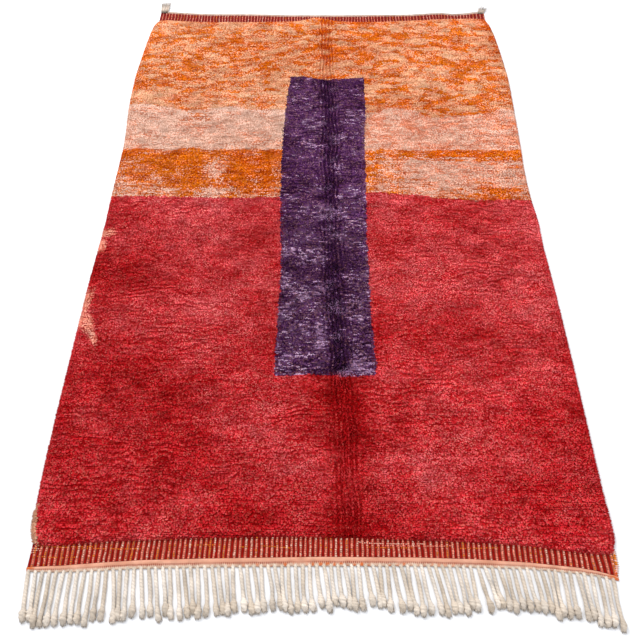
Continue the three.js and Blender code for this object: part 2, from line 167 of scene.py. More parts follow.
def deepened(colour: Array, amount: Array) -> Array:
    """Paints shade into wool, as wool looks in the shade between its fibres: its weaker parts fade first.

    The strongest part is raised to one plus a share of the amount, and the others' ratio to it
    to a higher power. All are dimmed, light wool less than dark wool since it passes light on.

    Args:
        colour: One linear colour for each row.
        amount: How far to darken each, from 0.

    Returns:
        The darker colours.
    """
    depth = np.clip(np.asarray(amount), 0, 1.6)[..., None]
    lightness = colour.mean(axis=-1, keepdims=True)
    strongest = np.clip(colour.max(axis=-1, keepdims=True), 1e-4, 1)
    ratio = np.clip(colour / strongest, 1e-4, 1) ** (1 + HUE_FADE * depth)
    return ratio * strongest ** (1 + TONE_FADE * depth) * (1 - LIGHT_FADE * depth * (1 - 1.1 * lightness))


@dataclass
class Surface:
    """Points on the loom with the faces between them.

    Attributes:
        points: One row of X, Y and Z in millimetres for each point.
        faces: Arrays of point numbers, each with its own number of corners.
        uv: One row for each corner of each face, in the order of the faces.
        wool: Linear colour of each point, with the painted shade and highlight that some pieces carry.
        shading: Normal of each corner of each face in the order of the faces, or None for plain
            ones. A face whose normals are zero is flat.
    """

    points: Array
    faces: list[Array]
    uv: Array
    wool: Array
    shading: Array | None = None

    def picked(self, chosen: Array, size: int) -> "Surface":
        """Keeps some of the equal parts that the surface is made of.

        Args:
            chosen: Which parts to keep.
            size: Number of points in a part, which is also its number of triangles.

        Returns:
            The kept parts, with a map of their own.
        """
        kept = np.flatnonzero(chosen)
        faces = (np.arange(len(kept)) * size)[:, None, None] + self.faces[0].reshape(-1, size, 3)[0]
        corners, cell = map_cells(len(self.points) // size)
        pattern = (self.uv.reshape(-1, size * 3, 2) - corners[:, None])[kept] / cell
        corners, cell = map_cells(len(kept))
        return Surface(
            self.points.reshape(-1, size, 3)[kept].reshape(-1, 3),
            [faces.reshape(-1, 3)],
            (corners[:, None] + pattern * cell).reshape(-1, 2),
            self.wool.reshape(-1, size, 3)[kept].reshape(-1, 3),
            None if self.shading is None else self.shading.reshape(-1, size * 3, 3)[kept].reshape(-1, 3),
        )


def joined(surfaces: list[Surface]) -> Surface:
    """Puts surfaces into one, each with its own band of the map.

    Args:
        surfaces: What to join.

    Returns:
        One surface.
    """
    faces: list[Array] = []
    maps: list[Array] = []
    start = 0
    for number, surface in enumerate(surfaces):
        faces += [group + start for group in surface.faces]
        maps.append((surface.uv * [1, 0.98] + [0, number]) / [1, len(surfaces)])
        start += len(surface.points)
    points = np.concatenate([surface.points for surface in surfaces])
    wool = np.concatenate([surface.wool for surface in surfaces])
    return Surface(points, faces, np.concatenate(maps), wool)


def right_of(run: Array) -> Array:
    """Turns directions across and along by a quarter to the right."""
    return np.stack([run[:, 1], -run[:, 0]], 1)


def map_cells(count: int, columns: int = 0) -> tuple[Array, Array]:
    """Shares the map out in equal cells, row after row.

    Args:
        count: Number of cells.
        columns: Cells in a row, or 0 for about as many as there are rows.

    Returns:
        The lower left corner of each cell, and the size of a cell.
    """
    columns = columns or math.ceil(math.sqrt(count))
    rows = math.ceil(count / columns)
    number = np.arange(count)
    corners = np.stack([number % columns / columns, number // columns / rows], -1)
    return corners, np.array([1 / columns, 1 / rows])


def spindles(root: Array, tip: Array, radius: Array, turn: Array, shoulder: float,
             shades: tuple[Array, Array, Array]) -> Surface:
    """Makes one closed lock from each root to its tip.

    A lock is a point at its root, a ring of three points at its shoulder, square to its run,
    and a point at its tip, so it has six faces.

    Args:
        root: Start of each lock.
        tip: End of each lock.
        radius: Radius of each lock's ring.
        turn: Angle of each ring's first point.
        shoulder: Share of the run at which the ring stands.
        shades: Colour of each lock at its root, ring and tip, with its painted shade and highlight.

    Returns:
        The locks as one surface.
    """
    count = len(root)
    run = tip - root
    run /= np.linalg.norm(run, axis=1, keepdims=True)
    helper = np.where(np.abs(run[:, 2:]) > 0.5, [[1.0, 0.0, 0.0]], [[0.0, 0.0, 1.0]])
    side = np.cross(run, helper)
    side /= np.linalg.norm(side, axis=1, keepdims=True)
    upright = np.cross(run, side)
    angle = turn[:, None] + np.arange(3) * 2 * math.pi / 3
    ring = (root + shoulder * (tip - root))[:, None] + radius[:, None, None] * (
        np.cos(angle)[..., None] * side[:, None] + np.sin(angle)[..., None] * upright[:, None]
    )
    points = np.concatenate([root[:, None], ring, tip[:, None]], 1)
    upper = [[1, 2, 4], [2, 3, 4], [3, 1, 4]]
    lower = [[2, 1, 0], [3, 2, 0], [1, 3, 0]]
    faces = (np.arange(count) * 5)[:, None, None] + np.array(upper + lower)
    third = np.arange(3)[:, None] / 3
    upper_map = np.stack([third + [0, 1 / 3, 1 / 6], np.tile([0.5, 0.5, 1.0], (3, 1))], -1)
    lower_map = np.stack([third + [1 / 3, 0, 1 / 6], np.tile([0.5, 0.5, 0.0], (3, 1))], -1)
    corners, cell = map_cells(count)
    pattern = np.concatenate([upper_map, lower_map]).reshape(-1, 2) * 0.84 + 0.08
    uv = corners[:, None] + pattern * cell
    at_root, at_ring, at_tip = shades
    wool = np.stack([at_root, at_ring, at_ring, at_ring, at_tip], 1)
    return Surface(points.reshape(-1, 3), [faces.reshape(-1, 3)], uv.reshape(-1, 2), wool.reshape(-1, 3))


def leaning_locks(root: Array, lean: Array, top: Array, width: Array,
                  shades: tuple[Array, Array, Array]) -> Surface:
    """Makes one leaning lock from each root, shaped like a scale that lies over the next ones.

    A lock has a point at its root, two at its shoulders and one at its tip, so it has four faces.
    The shoulders lie at a little over half its lean, and the tip lies lower than they do. Its upper
    faces are shaded like a rounded tuft.

    Args:
        root: Start of each lock.
        lean: How far each tip lies from its root across and along.
        top: Height of the shoulders.
        width: Distance of each shoulder from the lock's middle.
        shades: Colour of each lock at its root, its shoulders and its tip, with its painted shade and
            highlight.

    Returns:
        The locks as one surface.
    """
    count = len(root)
    zero = np.zeros((count, 1))
    run = np.hstack([lean / np.linalg.norm(lean, axis=1, keepdims=True), zero])
    side = np.stack([run[:, 1], -run[:, 0], zero[:, 0]], 1)
    lean = np.hstack([lean, zero])
    up = np.array([[0.0, 0.0, 1.0]])
    ridge = (root + 0.55 * lean) * [1, 1, 0] + top[:, None] * up
    left, right = ridge - side * width[:, None], ridge + side * width[:, None]
    tip = (root + lean) * [1, 1, 0] + (top[:, None] - 1.6) * up
    points = np.stack([left, right, root, tip], 1)
    pattern = np.array([[0, 1, 3], [0, 2, 1], [0, 3, 2], [1, 2, 3]])
    faces = (np.arange(count) * 4)[:, None, None] + pattern
    rounded = np.stack([up - 0.5 * side, up + 0.5 * side, up - 0.6 * run, up + 0.5 * run], 1)
    rounded /= np.linalg.norm(rounded, axis=2, keepdims=True)
    shading = np.concatenate([rounded[:, pattern[:2]].reshape(count, 6, 3), np.zeros((count, 6, 3))], 1)
    corners, cell = map_cells(count)
    places = np.array([
        [[0, 0.4], [0.6, 0.4], [0.3, 1]], [[0, 0.3], [0.3, 0], [0.6, 0.3]],
        [[0.65, 0], [1, 0], [0.82, 0.45]], [[0.65, 0.5], [1, 0.5], [0.82, 0.95]],
    ])
    uv = corners[:, None] + (places.reshape(-1, 2) * 0.84 + 0.08) * cell
    at_root, at_ridge, at_tip = shades
    wool = np.stack([at_ridge, at_ridge, at_root, at_tip], 1)
    return Surface(points.reshape(-1, 3), [faces.reshape(-1, 3)], uv.reshape(-1, 2), wool.reshape(-1, 3),
                   shading.reshape(-1, 3))


def tubes(rings: Array, wool: Array, columns: int = 1) -> Surface:
    """Makes closed tubes from rings of points, with a flat face at each end.

    Each ring runs counter-clockwise about the direction in which the tube goes.

    Args:
        rings: Points by tube, station and place round the ring.
        wool: Colour of each point, in the same order.
        columns: Number of tubes side by side on the map.

    Returns:
        The tubes as one surface.
    """
    count, stations, around, _ = rings.shape
    number = np.arange(count * stations * around).reshape(count, stations, around)
    onward = np.roll(number, -1, axis=2)
    quads = np.stack([number[:, :-1], onward[:, :-1], onward[:, 1:], number[:, 1:]], -1)
    along = np.linspace(0.02, 0.90, stations)
    about = np.linspace(0.02, 0.98, around + 1)
    grid = np.stack(np.meshgrid(along, about, indexing="ij"), -1)
    pattern = np.stack([grid[:-1, :-1], grid[:-1, 1:], grid[1:, 1:], grid[1:, :-1]], 2).reshape(-1, 2)
    corners, cell = map_cells(count, columns)
    angle = np.linspace(0, 2 * math.pi, around, endpoint=False)
    disc = np.stack([0.955 + 0.03 * np.cos(angle), 0.25 + 0.2 * np.sin(angle)], -1)
    uv = [corners[:, None] + pattern * cell]
    uv += [corners[:, None] + (disc + [0, lift]) * cell for lift in (0, 0.5)]
    faces = [quads.reshape(-1, 4), number[:, 0, ::-1], number[:, -1]]
    maps = np.concatenate([part.reshape(-1, 2) for part in uv])
    return Surface(rings.reshape(-1, 3), faces, maps, wool.reshape(-1, 3))


def slab(top: Array, bottom: Array, wool_top: Array, wool_bottom: Array) -> Surface:
    """Closes two grids of points into a slab, with walls along their four sides.

    Args:
        top: Points of the upper side, across and then along.
        bottom: Points of the lower side, in the same order.
        wool_top: Colour of each upper point.
        wool_bottom: Colour of each lower point.

    Returns:
        The slab as one surface.
    """
    across, along, _ = top.shape
    number = np.arange(2 * across * along).reshape(2, across, along)
    u, v = np.meshgrid(np.linspace(0.01, 0.99, across), np.linspace(0.01, 0.47, along), indexing="ij")
    place = np.stack([u, v], -1)

    def cells(grid: Array) -> Array:
        """The four corners of each cell of a grid, in order round it."""
        ordered = [grid[:-1, :-1], grid[1:, :-1], grid[1:, 1:], grid[:-1, 1:]]
        return np.stack(ordered, 2).reshape(-1, 4, *grid.shape[2:])

    upper, lower = number
    faces = [cells(upper), cells(lower)[:, ::-1]]
    maps = [cells(place + [0, 0.52]), cells(place)[:, ::-1]]
    rims = [
        (upper[:, 0], lower[:, 0]),
        (upper[-1], lower[-1]),
        (upper[::-1, -1], lower[::-1, -1]),
        (upper[0, ::-1], lower[0, ::-1]),
    ]
    for level, (over, under) in enumerate(rims):
        wall = np.stack([under[:-1], under[1:], over[1:], over[:-1]], -1)
        run = np.linspace(0.01, 0.99, len(over))
        low, high = 0.482 + level * 0.009, 0.488 + level * 0.009
        lower_edge = np.stack([run, np.full(len(run), low)], -1)
        upper_edge = np.stack([run, np.full(len(run), high)], -1)
        faces.append(wall)
        maps.append(np.stack([lower_edge[:-1], lower_edge[1:], upper_edge[1:], upper_edge[:-1]], 1))
    points = np.concatenate([top.reshape(-1, 3), bottom.reshape(-1, 3)])
    wool = np.concatenate([wool_top.reshape(-1, 3), wool_bottom.reshape(-1, 3)])
    return Surface(points, faces, np.concatenate([part.reshape(-1, 2) for part in maps]), wool)


def node_points(node: str) -> Array:
    """Reads the points of one solid of the frame.

    Args:
        node: The solid's name.

    Returns:
        Its points in the loom's millimetres.
    """
    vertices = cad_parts[node].data.vertices
    flat = np.empty(len(vertices) * 3)
    vertices.foreach_get("co", flat)
    return (flat.reshape(-1, 3) - LOOM) / MM


def arithmetic(nodes: bpy.types.Nodes, operation: str, socket: int = 0, value: float = 0.0) -> bpy.types.Node:
    """Adds a node that calculates, with one of its inputs set.

    Args:
        nodes: The nodes that it joins.
        operation: What it calculates.
        socket: Number of the input that is set.
        value: The value of that input.

    Returns:
        The node.
    """
    node = nodes.new("ShaderNodeMath")
    node.operation = operation
    node.inputs[socket].default_value = value
    return node


def yarn_grain_group() -> bpy.types.ShaderNodeTree:
    """Builds the shared grain of spun wool: fine fibres with a slower change of tone.

    Returns:
        A group that takes a place, the fibres' scale and the strength of the tone, and gives
        a shade round 1 and a height.
    """
    group = bpy.data.node_groups.new("yarn_grain", "ShaderNodeTree")
    for name, kind in (("Place", "NodeSocketVector"), ("Fibre Scale", "NodeSocketFloat"),
                       ("Tone", "NodeSocketFloat")):
        group.interface.new_socket(name, in_out="INPUT", socket_type=kind)
    for name in ("Shade", "Height"):
        group.interface.new_socket(name, in_out="OUTPUT", socket_type="NodeSocketFloat")
    nodes, link = group.nodes, group.links.new
    start, end = nodes.new("NodeGroupInput"), nodes.new("NodeGroupOutput")
    fibre, tone = nodes.new("ShaderNodeTexNoise"), nodes.new("ShaderNodeTexNoise")
    fibre.inputs["Detail"].default_value = 3
    fibre.inputs["Roughness"].default_value = 0.65
    tone.inputs["Detail"].default_value = 2
    slower = arithmetic(nodes, "MULTIPLY", 1, 0.08)
    both = arithmetic(nodes, "ADD")
    about = arithmetic(nodes, "SUBTRACT", 1, 1.0)
    shade = arithmetic(nodes, "MULTIPLY_ADD", 2, 1.0)
    link(start.outputs["Place"], fibre.inputs["Vector"])
    link(start.outputs["Place"], tone.inputs["Vector"])
    link(start.outputs["Fibre Scale"], fibre.inputs["Scale"])
    link(start.outputs["Fibre Scale"], slower.inputs[0])
    link(slower.outputs[0], tone.inputs["Scale"])
    link(fibre.outputs["Fac"], both.inputs[0])
    link(tone.outputs["Fac"], both.inputs[1])
    link(both.outputs[0], about.inputs[0])
    link(about.outputs[0], shade.inputs[0])
    link(start.outputs["Tone"], shade.inputs[1])
    link(shade.outputs[0], end.inputs["Shade"])
    link(fibre.outputs["Fac"], end.inputs["Height"])
    return group


@dataclass(frozen=True)
class YarnFinish:
    """Finish of spun wool, over the colour that each point of a piece carries.

    Attributes:
        name: Name of the material.
        fibre_scale: Fibres to the metre.
        stretch: How much shorter the grain is along X, Y and Z.
        tone: Strength of the change of tone.
        relief: Height of the fibres in metres.
        sheen: Weight of the soft light on the fibre ends.
        roughness: Roughness of the yarn.
        specular: Level of its mirror-like light.
        sheen_roughness: Roughness of the soft light.
    """

    name: str
    fibre_scale: float = 450.0
    stretch: tuple[float, float, float] = (1.0, 1.0, 1.0)
    tone: float = 0.45
    relief: float = 0.0012
    sheen: float = 0.2
    roughness: float = 0.9
    specular: float = 0.03
    sheen_roughness: float = 0.45

    def material(self, grain: bpy.types.ShaderNodeTree) -> bpy.types.Material:
        """Builds the material.

        Args:
            grain: The shared grain group.

        Returns:
            The material, which reads the colour attribute named wool.
        """
        material = bpy.data.materials.new(self.name)
        material.use_nodes = True
        nodes, link = material.node_tree.nodes, material.node_tree.links.new
        shader = nodes["Principled BSDF"]
        shader.inputs["Roughness"].default_value = self.roughness
        shader.inputs["Specular IOR Level"].default_value = self.specular
        shader.inputs["Sheen Weight"].default_value = self.sheen
        shader.inputs["Sheen Roughness"].default_value = self.sheen_roughness
        place = nodes.new("ShaderNodeTexCoord")
        mapping = nodes.new("ShaderNodeMapping")
        mapping.inputs["Scale"].default_value = self.stretch
        wool = nodes.new("ShaderNodeAttribute")
        wool.attribute_name = "wool"
        fibres = nodes.new("ShaderNodeGroup")
        fibres.node_tree = grain
        fibres.inputs["Fibre Scale"].default_value = self.fibre_scale
        fibres.inputs["Tone"].default_value = self.tone
        shaded = nodes.new("ShaderNodeVectorMath")
        shaded.operation = "SCALE"
        bump = nodes.new("ShaderNodeBump")
        bump.inputs["Distance"].default_value = self.relief
        link(place.outputs["Object"], mapping.inputs["Vector"])
        link(mapping.outputs["Vector"], fibres.inputs["Place"])
        link(wool.outputs["Color"], shaded.inputs[0])
        link(fibres.outputs["Shade"], shaded.inputs["Scale"])
        link(shaded.outputs["Vector"], shader.inputs["Base Color"])
        link(fibres.outputs["Height"], bump.inputs["Height"])
        link(bump.outputs["Normal"], shader.inputs["Normal"])
        return material


@dataclass
class Workshop:
    """Turns surfaces into dressed pieces of the scene.

    Attributes:
        grain: The shared grain group.
        materials: Each finish's material, made when it is first asked for.
    """

    grain: bpy.types.ShaderNodeTree
    materials: dict[str, bpy.types.Material] = field(default_factory=dict)

    def finish(self, finish: YarnFinish) -> bpy.types.Material:
        """Gives the material of a finish, and makes it if it is new."""
        if finish.name not in self.materials:
            self.materials[finish.name] = finish.material(self.grain)
        return self.materials[finish.name]

    def piece(self, name: str, surface: Surface, finish: YarnFinish, slot: str,
              stands_for: tuple[str, ...]) -> bpy.types.Object:
        """Makes one piece that rides with the rug.

        Args:
            name: The piece's name.
            surface: Its shape and colours.
            finish: Its finish.
            slot: The record's material slot; it is not used.
            stands_for: The solids that it replaces.

        Returns:
            The piece.
        """
        mesh = bpy.data.meshes.new(name)
        corners = np.concatenate([group.ravel() for group in surface.faces]).astype(np.int32)
        sizes = np.concatenate([np.full(len(group), group.shape[1]) for group in surface.faces])
        starts = np.concatenate([[0], np.cumsum(sizes)[:-1]]).astype(np.int32)
        mesh.vertices.add(len(surface.points))
        mesh.vertices.foreach_set("co", (surface.points * MM + LOOM).ravel())
        mesh.loops.add(len(corners))
        mesh.loops.foreach_set("vertex_index", corners)
        mesh.polygons.add(len(sizes))
        mesh.polygons.foreach_set("loop_start", starts)
        smooth = np.ones(len(sizes), bool)
        if surface.shading is not None:
            smooth = np.abs(surface.shading[starts]).sum(axis=1) > 0
        mesh.polygons.foreach_set("use_smooth", smooth)
        mesh.update(calc_edges=True)
        wool = mesh.attributes.new("wool", "FLOAT_COLOR", "POINT")
        colour = np.concatenate([surface.wool, np.ones((len(surface.wool), 1))], 1)
        wool.data.foreach_set("color", np.clip(colour, 0, 1).ravel())
        bake = mesh.uv_layers.new(name="OFBake")
        bake.uv.foreach_set("vector", np.clip(surface.uv, 0, 1).ravel())
        if surface.shading is not None:
            plain = np.empty(len(sizes) * 3)
            mesh.polygons.foreach_get("normal", plain)
            plain = np.repeat(plain.reshape(-1, 3), sizes, axis=0)
            drawn = np.where(np.repeat(smooth, sizes)[:, None], surface.shading, plain)
            normals = mesh.attributes.new("custom_normal", "FLOAT_VECTOR", "CORNER")
            normals.data.foreach_set("vector", drawn.ravel())
        mesh.materials.append(self.finish(finish))
        mesh.validate()
        piece = bpy.data.objects.new(name, mesh)
        bpy.context.scene.collection.objects.link(piece)
        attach(piece, "root")
        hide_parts(*stands_for)
        log.info("%s: %d triangles", name, (sizes - 2).sum())
        return piece


@dataclass(frozen=True)
class Wave:
    """A soft wave in the pile: place, half sizes, height and slant, in millimetres."""

    x: float
    y: float
    half_length: float
    half_width: float
    height: float
    slant: float


@dataclass
class Lie:
    """How the rug lies: the outline of its ground, and the relief of its pile.

    Attributes:
        ring: Outline of the ground, counter-clockwise from the near left corner.
        swell: Height of the slow swells.
        waves: The soft waves.
        crease_y: Places along the crease.
        crease_x: The crease's place across, for each of these.
    """

    ring: Array = field(default_factory=lambda: Lie.ground_ring())
    swell: float = 1.1
    waves: tuple[Wave, ...] = (
        Wave(300, -40, 330, 60, -4, -0.08),
        Wave(560, -100, 420, 60, 4, -0.08),
        Wave(270, -170, 260, 55, -3, -0.05),
        Wave(860, -60, 150, 80, 3, 0),
        Wave(760, -230, 300, 70, -2, 0.06),
        Wave(690, 1320, 160, 90, 3, 0),
        Wave(-40, 1430, 55, 45, 7, 0),
    )
    crease_y: tuple[float, ...] = (-1420, -994, -486, 46, 569, 1380)
    crease_x: tuple[float, ...] = (95, 83, 52, 37, 29, 6)

    @staticmethod
    def ground_ring() -> Array:
        """Reads the outline of the ground from the pile's solid.

        The lowest points are sorted by their angle about the middle, and start at the near left corner.

        Returns:
            X and Y of each point.
        """
        points = node_points("pile_field")
        low = np.unique(np.round(points[points[:, 2] < 0.5, :2], 2), axis=0)
        ring = low[np.argsort(np.arctan2(low[:, 1], low[:, 0]))]
        scale = np.abs(ring).max(axis=0)
        return np.roll(ring, -int(np.argmin((ring / scale).sum(axis=1))), axis=0)

    def __post_init__(self) -> None:
        """Splits the outline at its corners into its four sides."""
        scaled = self.ring / np.abs(self.ring).max(axis=0)
        right_near = int(np.argmax(scaled[:, 0] - scaled[:, 1]))
        right_far = int(np.argmax(scaled.sum(axis=1)))
        left_far = int(np.argmax(scaled[:, 1] - scaled[:, 0]))
        self.near_side = self.ring[: right_near + 1]
        self.right_side = self.ring[right_near: right_far + 1]
        self.far_side = self.ring[right_far: left_far + 1][::-1]
        self.left_side = np.concatenate([self.ring[left_far:], self.ring[:1]])[::-1]

    def near(self, x: Array) -> Array:
        """The near edge of the ground at places across."""
        return np.interp(x, self.near_side[:, 0], self.near_side[:, 1])

    def far(self, x: Array) -> Array:
        """The far edge of the ground at places across."""
        return np.interp(x, self.far_side[:, 0], self.far_side[:, 1])

    def left(self, y: Array) -> Array:
        """The left edge of the ground at places along."""
        return np.interp(y, self.left_side[:, 1], self.left_side[:, 0])

    def right(self, y: Array) -> Array:
        """The right edge of the ground at places along."""
        return np.interp(y, self.right_side[:, 1], self.right_side[:, 0])

    def gaps(self, x: Array, y: Array) -> Array:
        """Distances of places from the left, right, near and far edges of the ground."""
        return np.stack([x - self.left(y), self.right(y) - x, y - self.near(x), self.far(x) - y], -1)

    def body(self, x: Array, y: Array) -> Array:
        """Height of the dense lower part of the pile, which is rounded off along the edges."""
        edge = np.clip(self.gaps(x, y).min(axis=-1), 0, None)
        return 14.5 + self.relief(x, y) * (1 - np.exp(-edge / 20)) - 8 * np.exp(-edge / 7)

    def from_crease(self, x: Array, y: Array) -> Array:
        """Distance across from the lengthwise crease, positive to the right of it."""
        return x - np.interp(y, self.crease_y, self.crease_x)

    def relief(self, x: Array, y: Array) -> Array:
        """Height of the pile over its usual height: three slow swells, and a bell for each wave.

        Args:
            x: Places across.
            y: Places along.

        Returns:
            Heights in millimetres.
        """
        swells = np.sin(x / 137 + y / 411) + np.sin(y / 98 - x / 523) + np.sin((x + y) / 189)
        height = self.swell * swells
        for wave in self.waves:
            along = (x - wave.x) / wave.half_length
            across = (y - wave.y - wave.slant * (x - wave.x)) / wave.half_width
            height = height + wave.height * np.exp(-(along ** 2) - across ** 2)
        return height


@dataclass(frozen=True)
class Yarn:
    """A dyed yarn: its deepest and its lightest colour as seen, from 0 to 255."""

    deep: tuple[int, int, int]
    light: tuple[int, int, int]

    def blend(self, part: Array) -> Array:
        """Colours between the deepest and the lightest."""
        return blended(dye(*self.deep), dye(*self.light), part)


class Dyes(Enum):
    """The yarns of the rug."""

    ORANGE = Yarn((212, 104, 0), (232, 132, 12))
    CORAL = Yarn((226, 150, 120), (236, 174, 148))
    SAND = Yarn((224, 165, 126), (236, 190, 154))
    PALE = Yarn((224, 184, 164), (236, 200, 182))
    RED = Yarn((200, 40, 48), (218, 64, 72))
    ROSE_RED = Yarn((222, 94, 100), (236, 122, 126))
    VIOLET = Yarn((90, 46, 92), (122, 76, 126))
    LILAC = Yarn((152, 116, 154), (222, 194, 220))
    TAN = Yarn((196, 140, 114), (224, 184, 160))
    WEFT_RED = Yarn((118, 4, 0), (152, 22, 12))
    ROSE = Yarn((248, 128, 104), (255, 160, 134))
    BLUSH = Yarn((248, 180, 158), (255, 208, 188))
    CREAM = Yarn((198, 182, 164), (224, 212, 199))
    PEACH = Yarn((194, 132, 106), (218, 163, 138))

    def coloured(self, part: Array) -> Array:
        """Colours of the yarn between its deepest and its lightest."""
        return self.value.blend(part)


@dataclass(frozen=True)
class Marl:
    """An area of mixed yarns.

    Attributes:
        left: Its left edge.
        right: Its right edge.
        low: Its near edge.
        high: Its far edge.
        orange: Share of orange.
        coral: Share of coral; the palest yarn is the rest.
        blotch: How far the yarns gather in blotches, against thin streaks, from 0 to 1.
        palest: Its palest yarn.
    """

    left: float
    right: float
    low: float
    high: float
    orange: float
    coral: float
    blotch: float
    palest: Dyes = Dyes.PALE


@dataclass(frozen=True)
class Patch:
    """A place where the mix leans to orange, or to pale if push is negative; sizes in millimetres."""

    x: float
    y: float
    half_x: float
    half_y: float
    push: float


@dataclass(frozen=True)
class UndyedSpot:
    """A place at the left edge where the yarn took little dye; sizes in millimetres."""

    x: float
    y: float
    half_x: float
    half_y: float
    slant: float


@dataclass
class Layout:
    """The colour fields of the pile, in the loom's millimetres.

    Attributes:
        marls: Areas of mixed yarns; a later one lies over an earlier one.
        undyed_spots: Places where the yarn took little dye.
        patches: Places where the mix leans one way.
        red_top_x: Places across at which the red field's far edge is known.
        red_top_y: The red field's far edge at each of these.
        bar_y: Places along the violet bar.
        bar_left: The bar's left edge at each of these.
        bar_right: The bar's right edge at each of these.
        bar_low: The bar's near end.
        bar_top_x: Places across at which the bar's far end is known.
        bar_top_y: The bar's far end at each of these.
    """

    marls: tuple[Marl, ...] = (
        Marl(-1000, 1000, -100, 1500, 0.48, 0.16, 1.0, Dyes.SAND),
        Marl(-1000, -180, 600, 1500, 0.45, 0.16, 0.7, Dyes.SAND),
        Marl(-1000, 0, 660, 800, 0.24, 0.22, 0.7, Dyes.SAND),
        Marl(-1000, 0, 373, 668, 0.00, 0.14, 0.5),
        Marl(0, 1000, 372, 636, 0.03, 0.52, 0.5),
        Marl(-1000, 0, -100, 373, 0.72, 0.18, 0.4),
        Marl(-1000, 0, -100, 128, 0.46, 0.30, 0.3),
        Marl(0, 1000, -100, 372, 0.10, 0.46, 0.4),
        Marl(0, 1000, 300, 371, 0.84, 0.12, 0.2),
        Marl(0, 370, 150, 300, 0.52, 0.30, 0.4),
        Marl(0, 560, 60, 130, 0.36, 0.36, 0.3),
        Marl(560, 1000, -100, 132, 0.58, 0.24, 0.2),
    )
    undyed_spots: tuple[UndyedSpot, ...] = (
        UndyedSpot(-902, -142, 28, 20, 0.5), UndyedSpot(-914, -210, 17, 32, 0.0),
        UndyedSpot(-896, -592, 21, 42, -0.3), UndyedSpot(-864, -650, 12, 34, -0.4),
        UndyedSpot(-914, -498, 12, 56, 0.1),
    )
    patches: tuple[Patch, ...] = (
        Patch(-744, 281, 90, 40, 0.30),
        Patch(-610, 300, 80, 45, 0.34),
        Patch(-372, 250, 48, 110, 0.45),
        Patch(-579, 150, 60, 45, 0.40),
        Patch(-250, 300, 50, 60, 0.30),
        Patch(-820, 200, 60, 40, 0.18),
        Patch(-489, 260, 45, 90, -0.32),
        Patch(-470, 95, 70, 26, -0.35),
        Patch(-860, 120, 50, 40, -0.18),
        Patch(-640, 600, 70, 30, 0.5),
        Patch(640, 318, 300, 9, -0.45),
        Patch(420, 300, 60, 14, -0.4),
        Patch(787, 118, 60, 12, 0.45),
        Patch(560, 455, 120, 30, -0.2),
    )
    red_top_x: tuple[float, ...] = (
        -904, -725, -514, -409, -252, -195, 244, 350, 426, 506, 558, 714, 872, 930,
    )
    red_top_y: tuple[float, ...] = (68, 69, 66, 62, 70, 72, 98, 92, 84, 71, 65, 62, 60, 54)
    bar_y: tuple[float, ...] = (-823, -760, -581, -365, -205, -128, 0, 150, 293, 330, 640, 777, 904)
    bar_left: tuple[float, ...] = (
        -168, -170, -171, -166, -169, -176, -182, -187, -189, -189, -184, -177, -168,
    )
    bar_right: tuple[float, ...] = (198, 203, 193, 189, 186, 187, 189, 193, 194, 191, 207, 204, 205)
    bar_low: float = -809
    bar_top_x: tuple[float, ...] = (-170, -80, -14, 65, 146, 207)
    bar_top_y: tuple[float, ...] = (910, 908, 886, 888, 896, 901)

    def undyed(self, x: Array, y: Array) -> Array:
        """Share of missing dye at places: a smooth bump, the highest of all spots.

        Args:
            x: Places across.
            y: Places along.

        Returns:
            A share from 0 to 1.
        """
        share = np.zeros(np.broadcast(x, y).shape)
        for spot in self.undyed_spots:
            across = (x - spot.x - spot.slant * (y - spot.y)) / spot.half_x
            share = np.maximum(share, np.exp(-(across**2) - ((y - spot.y) / spot.half_y) ** 2))
        return np.where(share > 0.12, share, 0)

    def in_red(self, x: Array, y: Array) -> Array:
        """Which places lie in the red field, past an edge that wanders by a knot or two."""
        wander = 4 * ripple(x / 24, y * 0, 3) + 3 * ripple(x / 7, y * 0, 4)
        return y < np.interp(x, self.red_top_x, self.red_top_y) + wander

    def in_bar(self, x: Array, y: Array) -> Array:
        """Which places lie in the violet bar, whose edges wander by a knot or two."""
        wander = 3 * ripple(y / 20, x * 0, 5) + 2 * ripple(y / 7, x * 0, 6)
        left = np.interp(y, self.bar_y, self.bar_left) + wander
        right = np.interp(y, self.bar_y, self.bar_right) + wander
        low = self.bar_low + 5 * ripple(x / 40, x * 0, 7)
        high = np.interp(x, self.bar_top_x, self.bar_top_y) + 5 * ripple(x / 26, x * 0, 8)
        return (x > left) & (x < right) & (y > low) & (y < high)

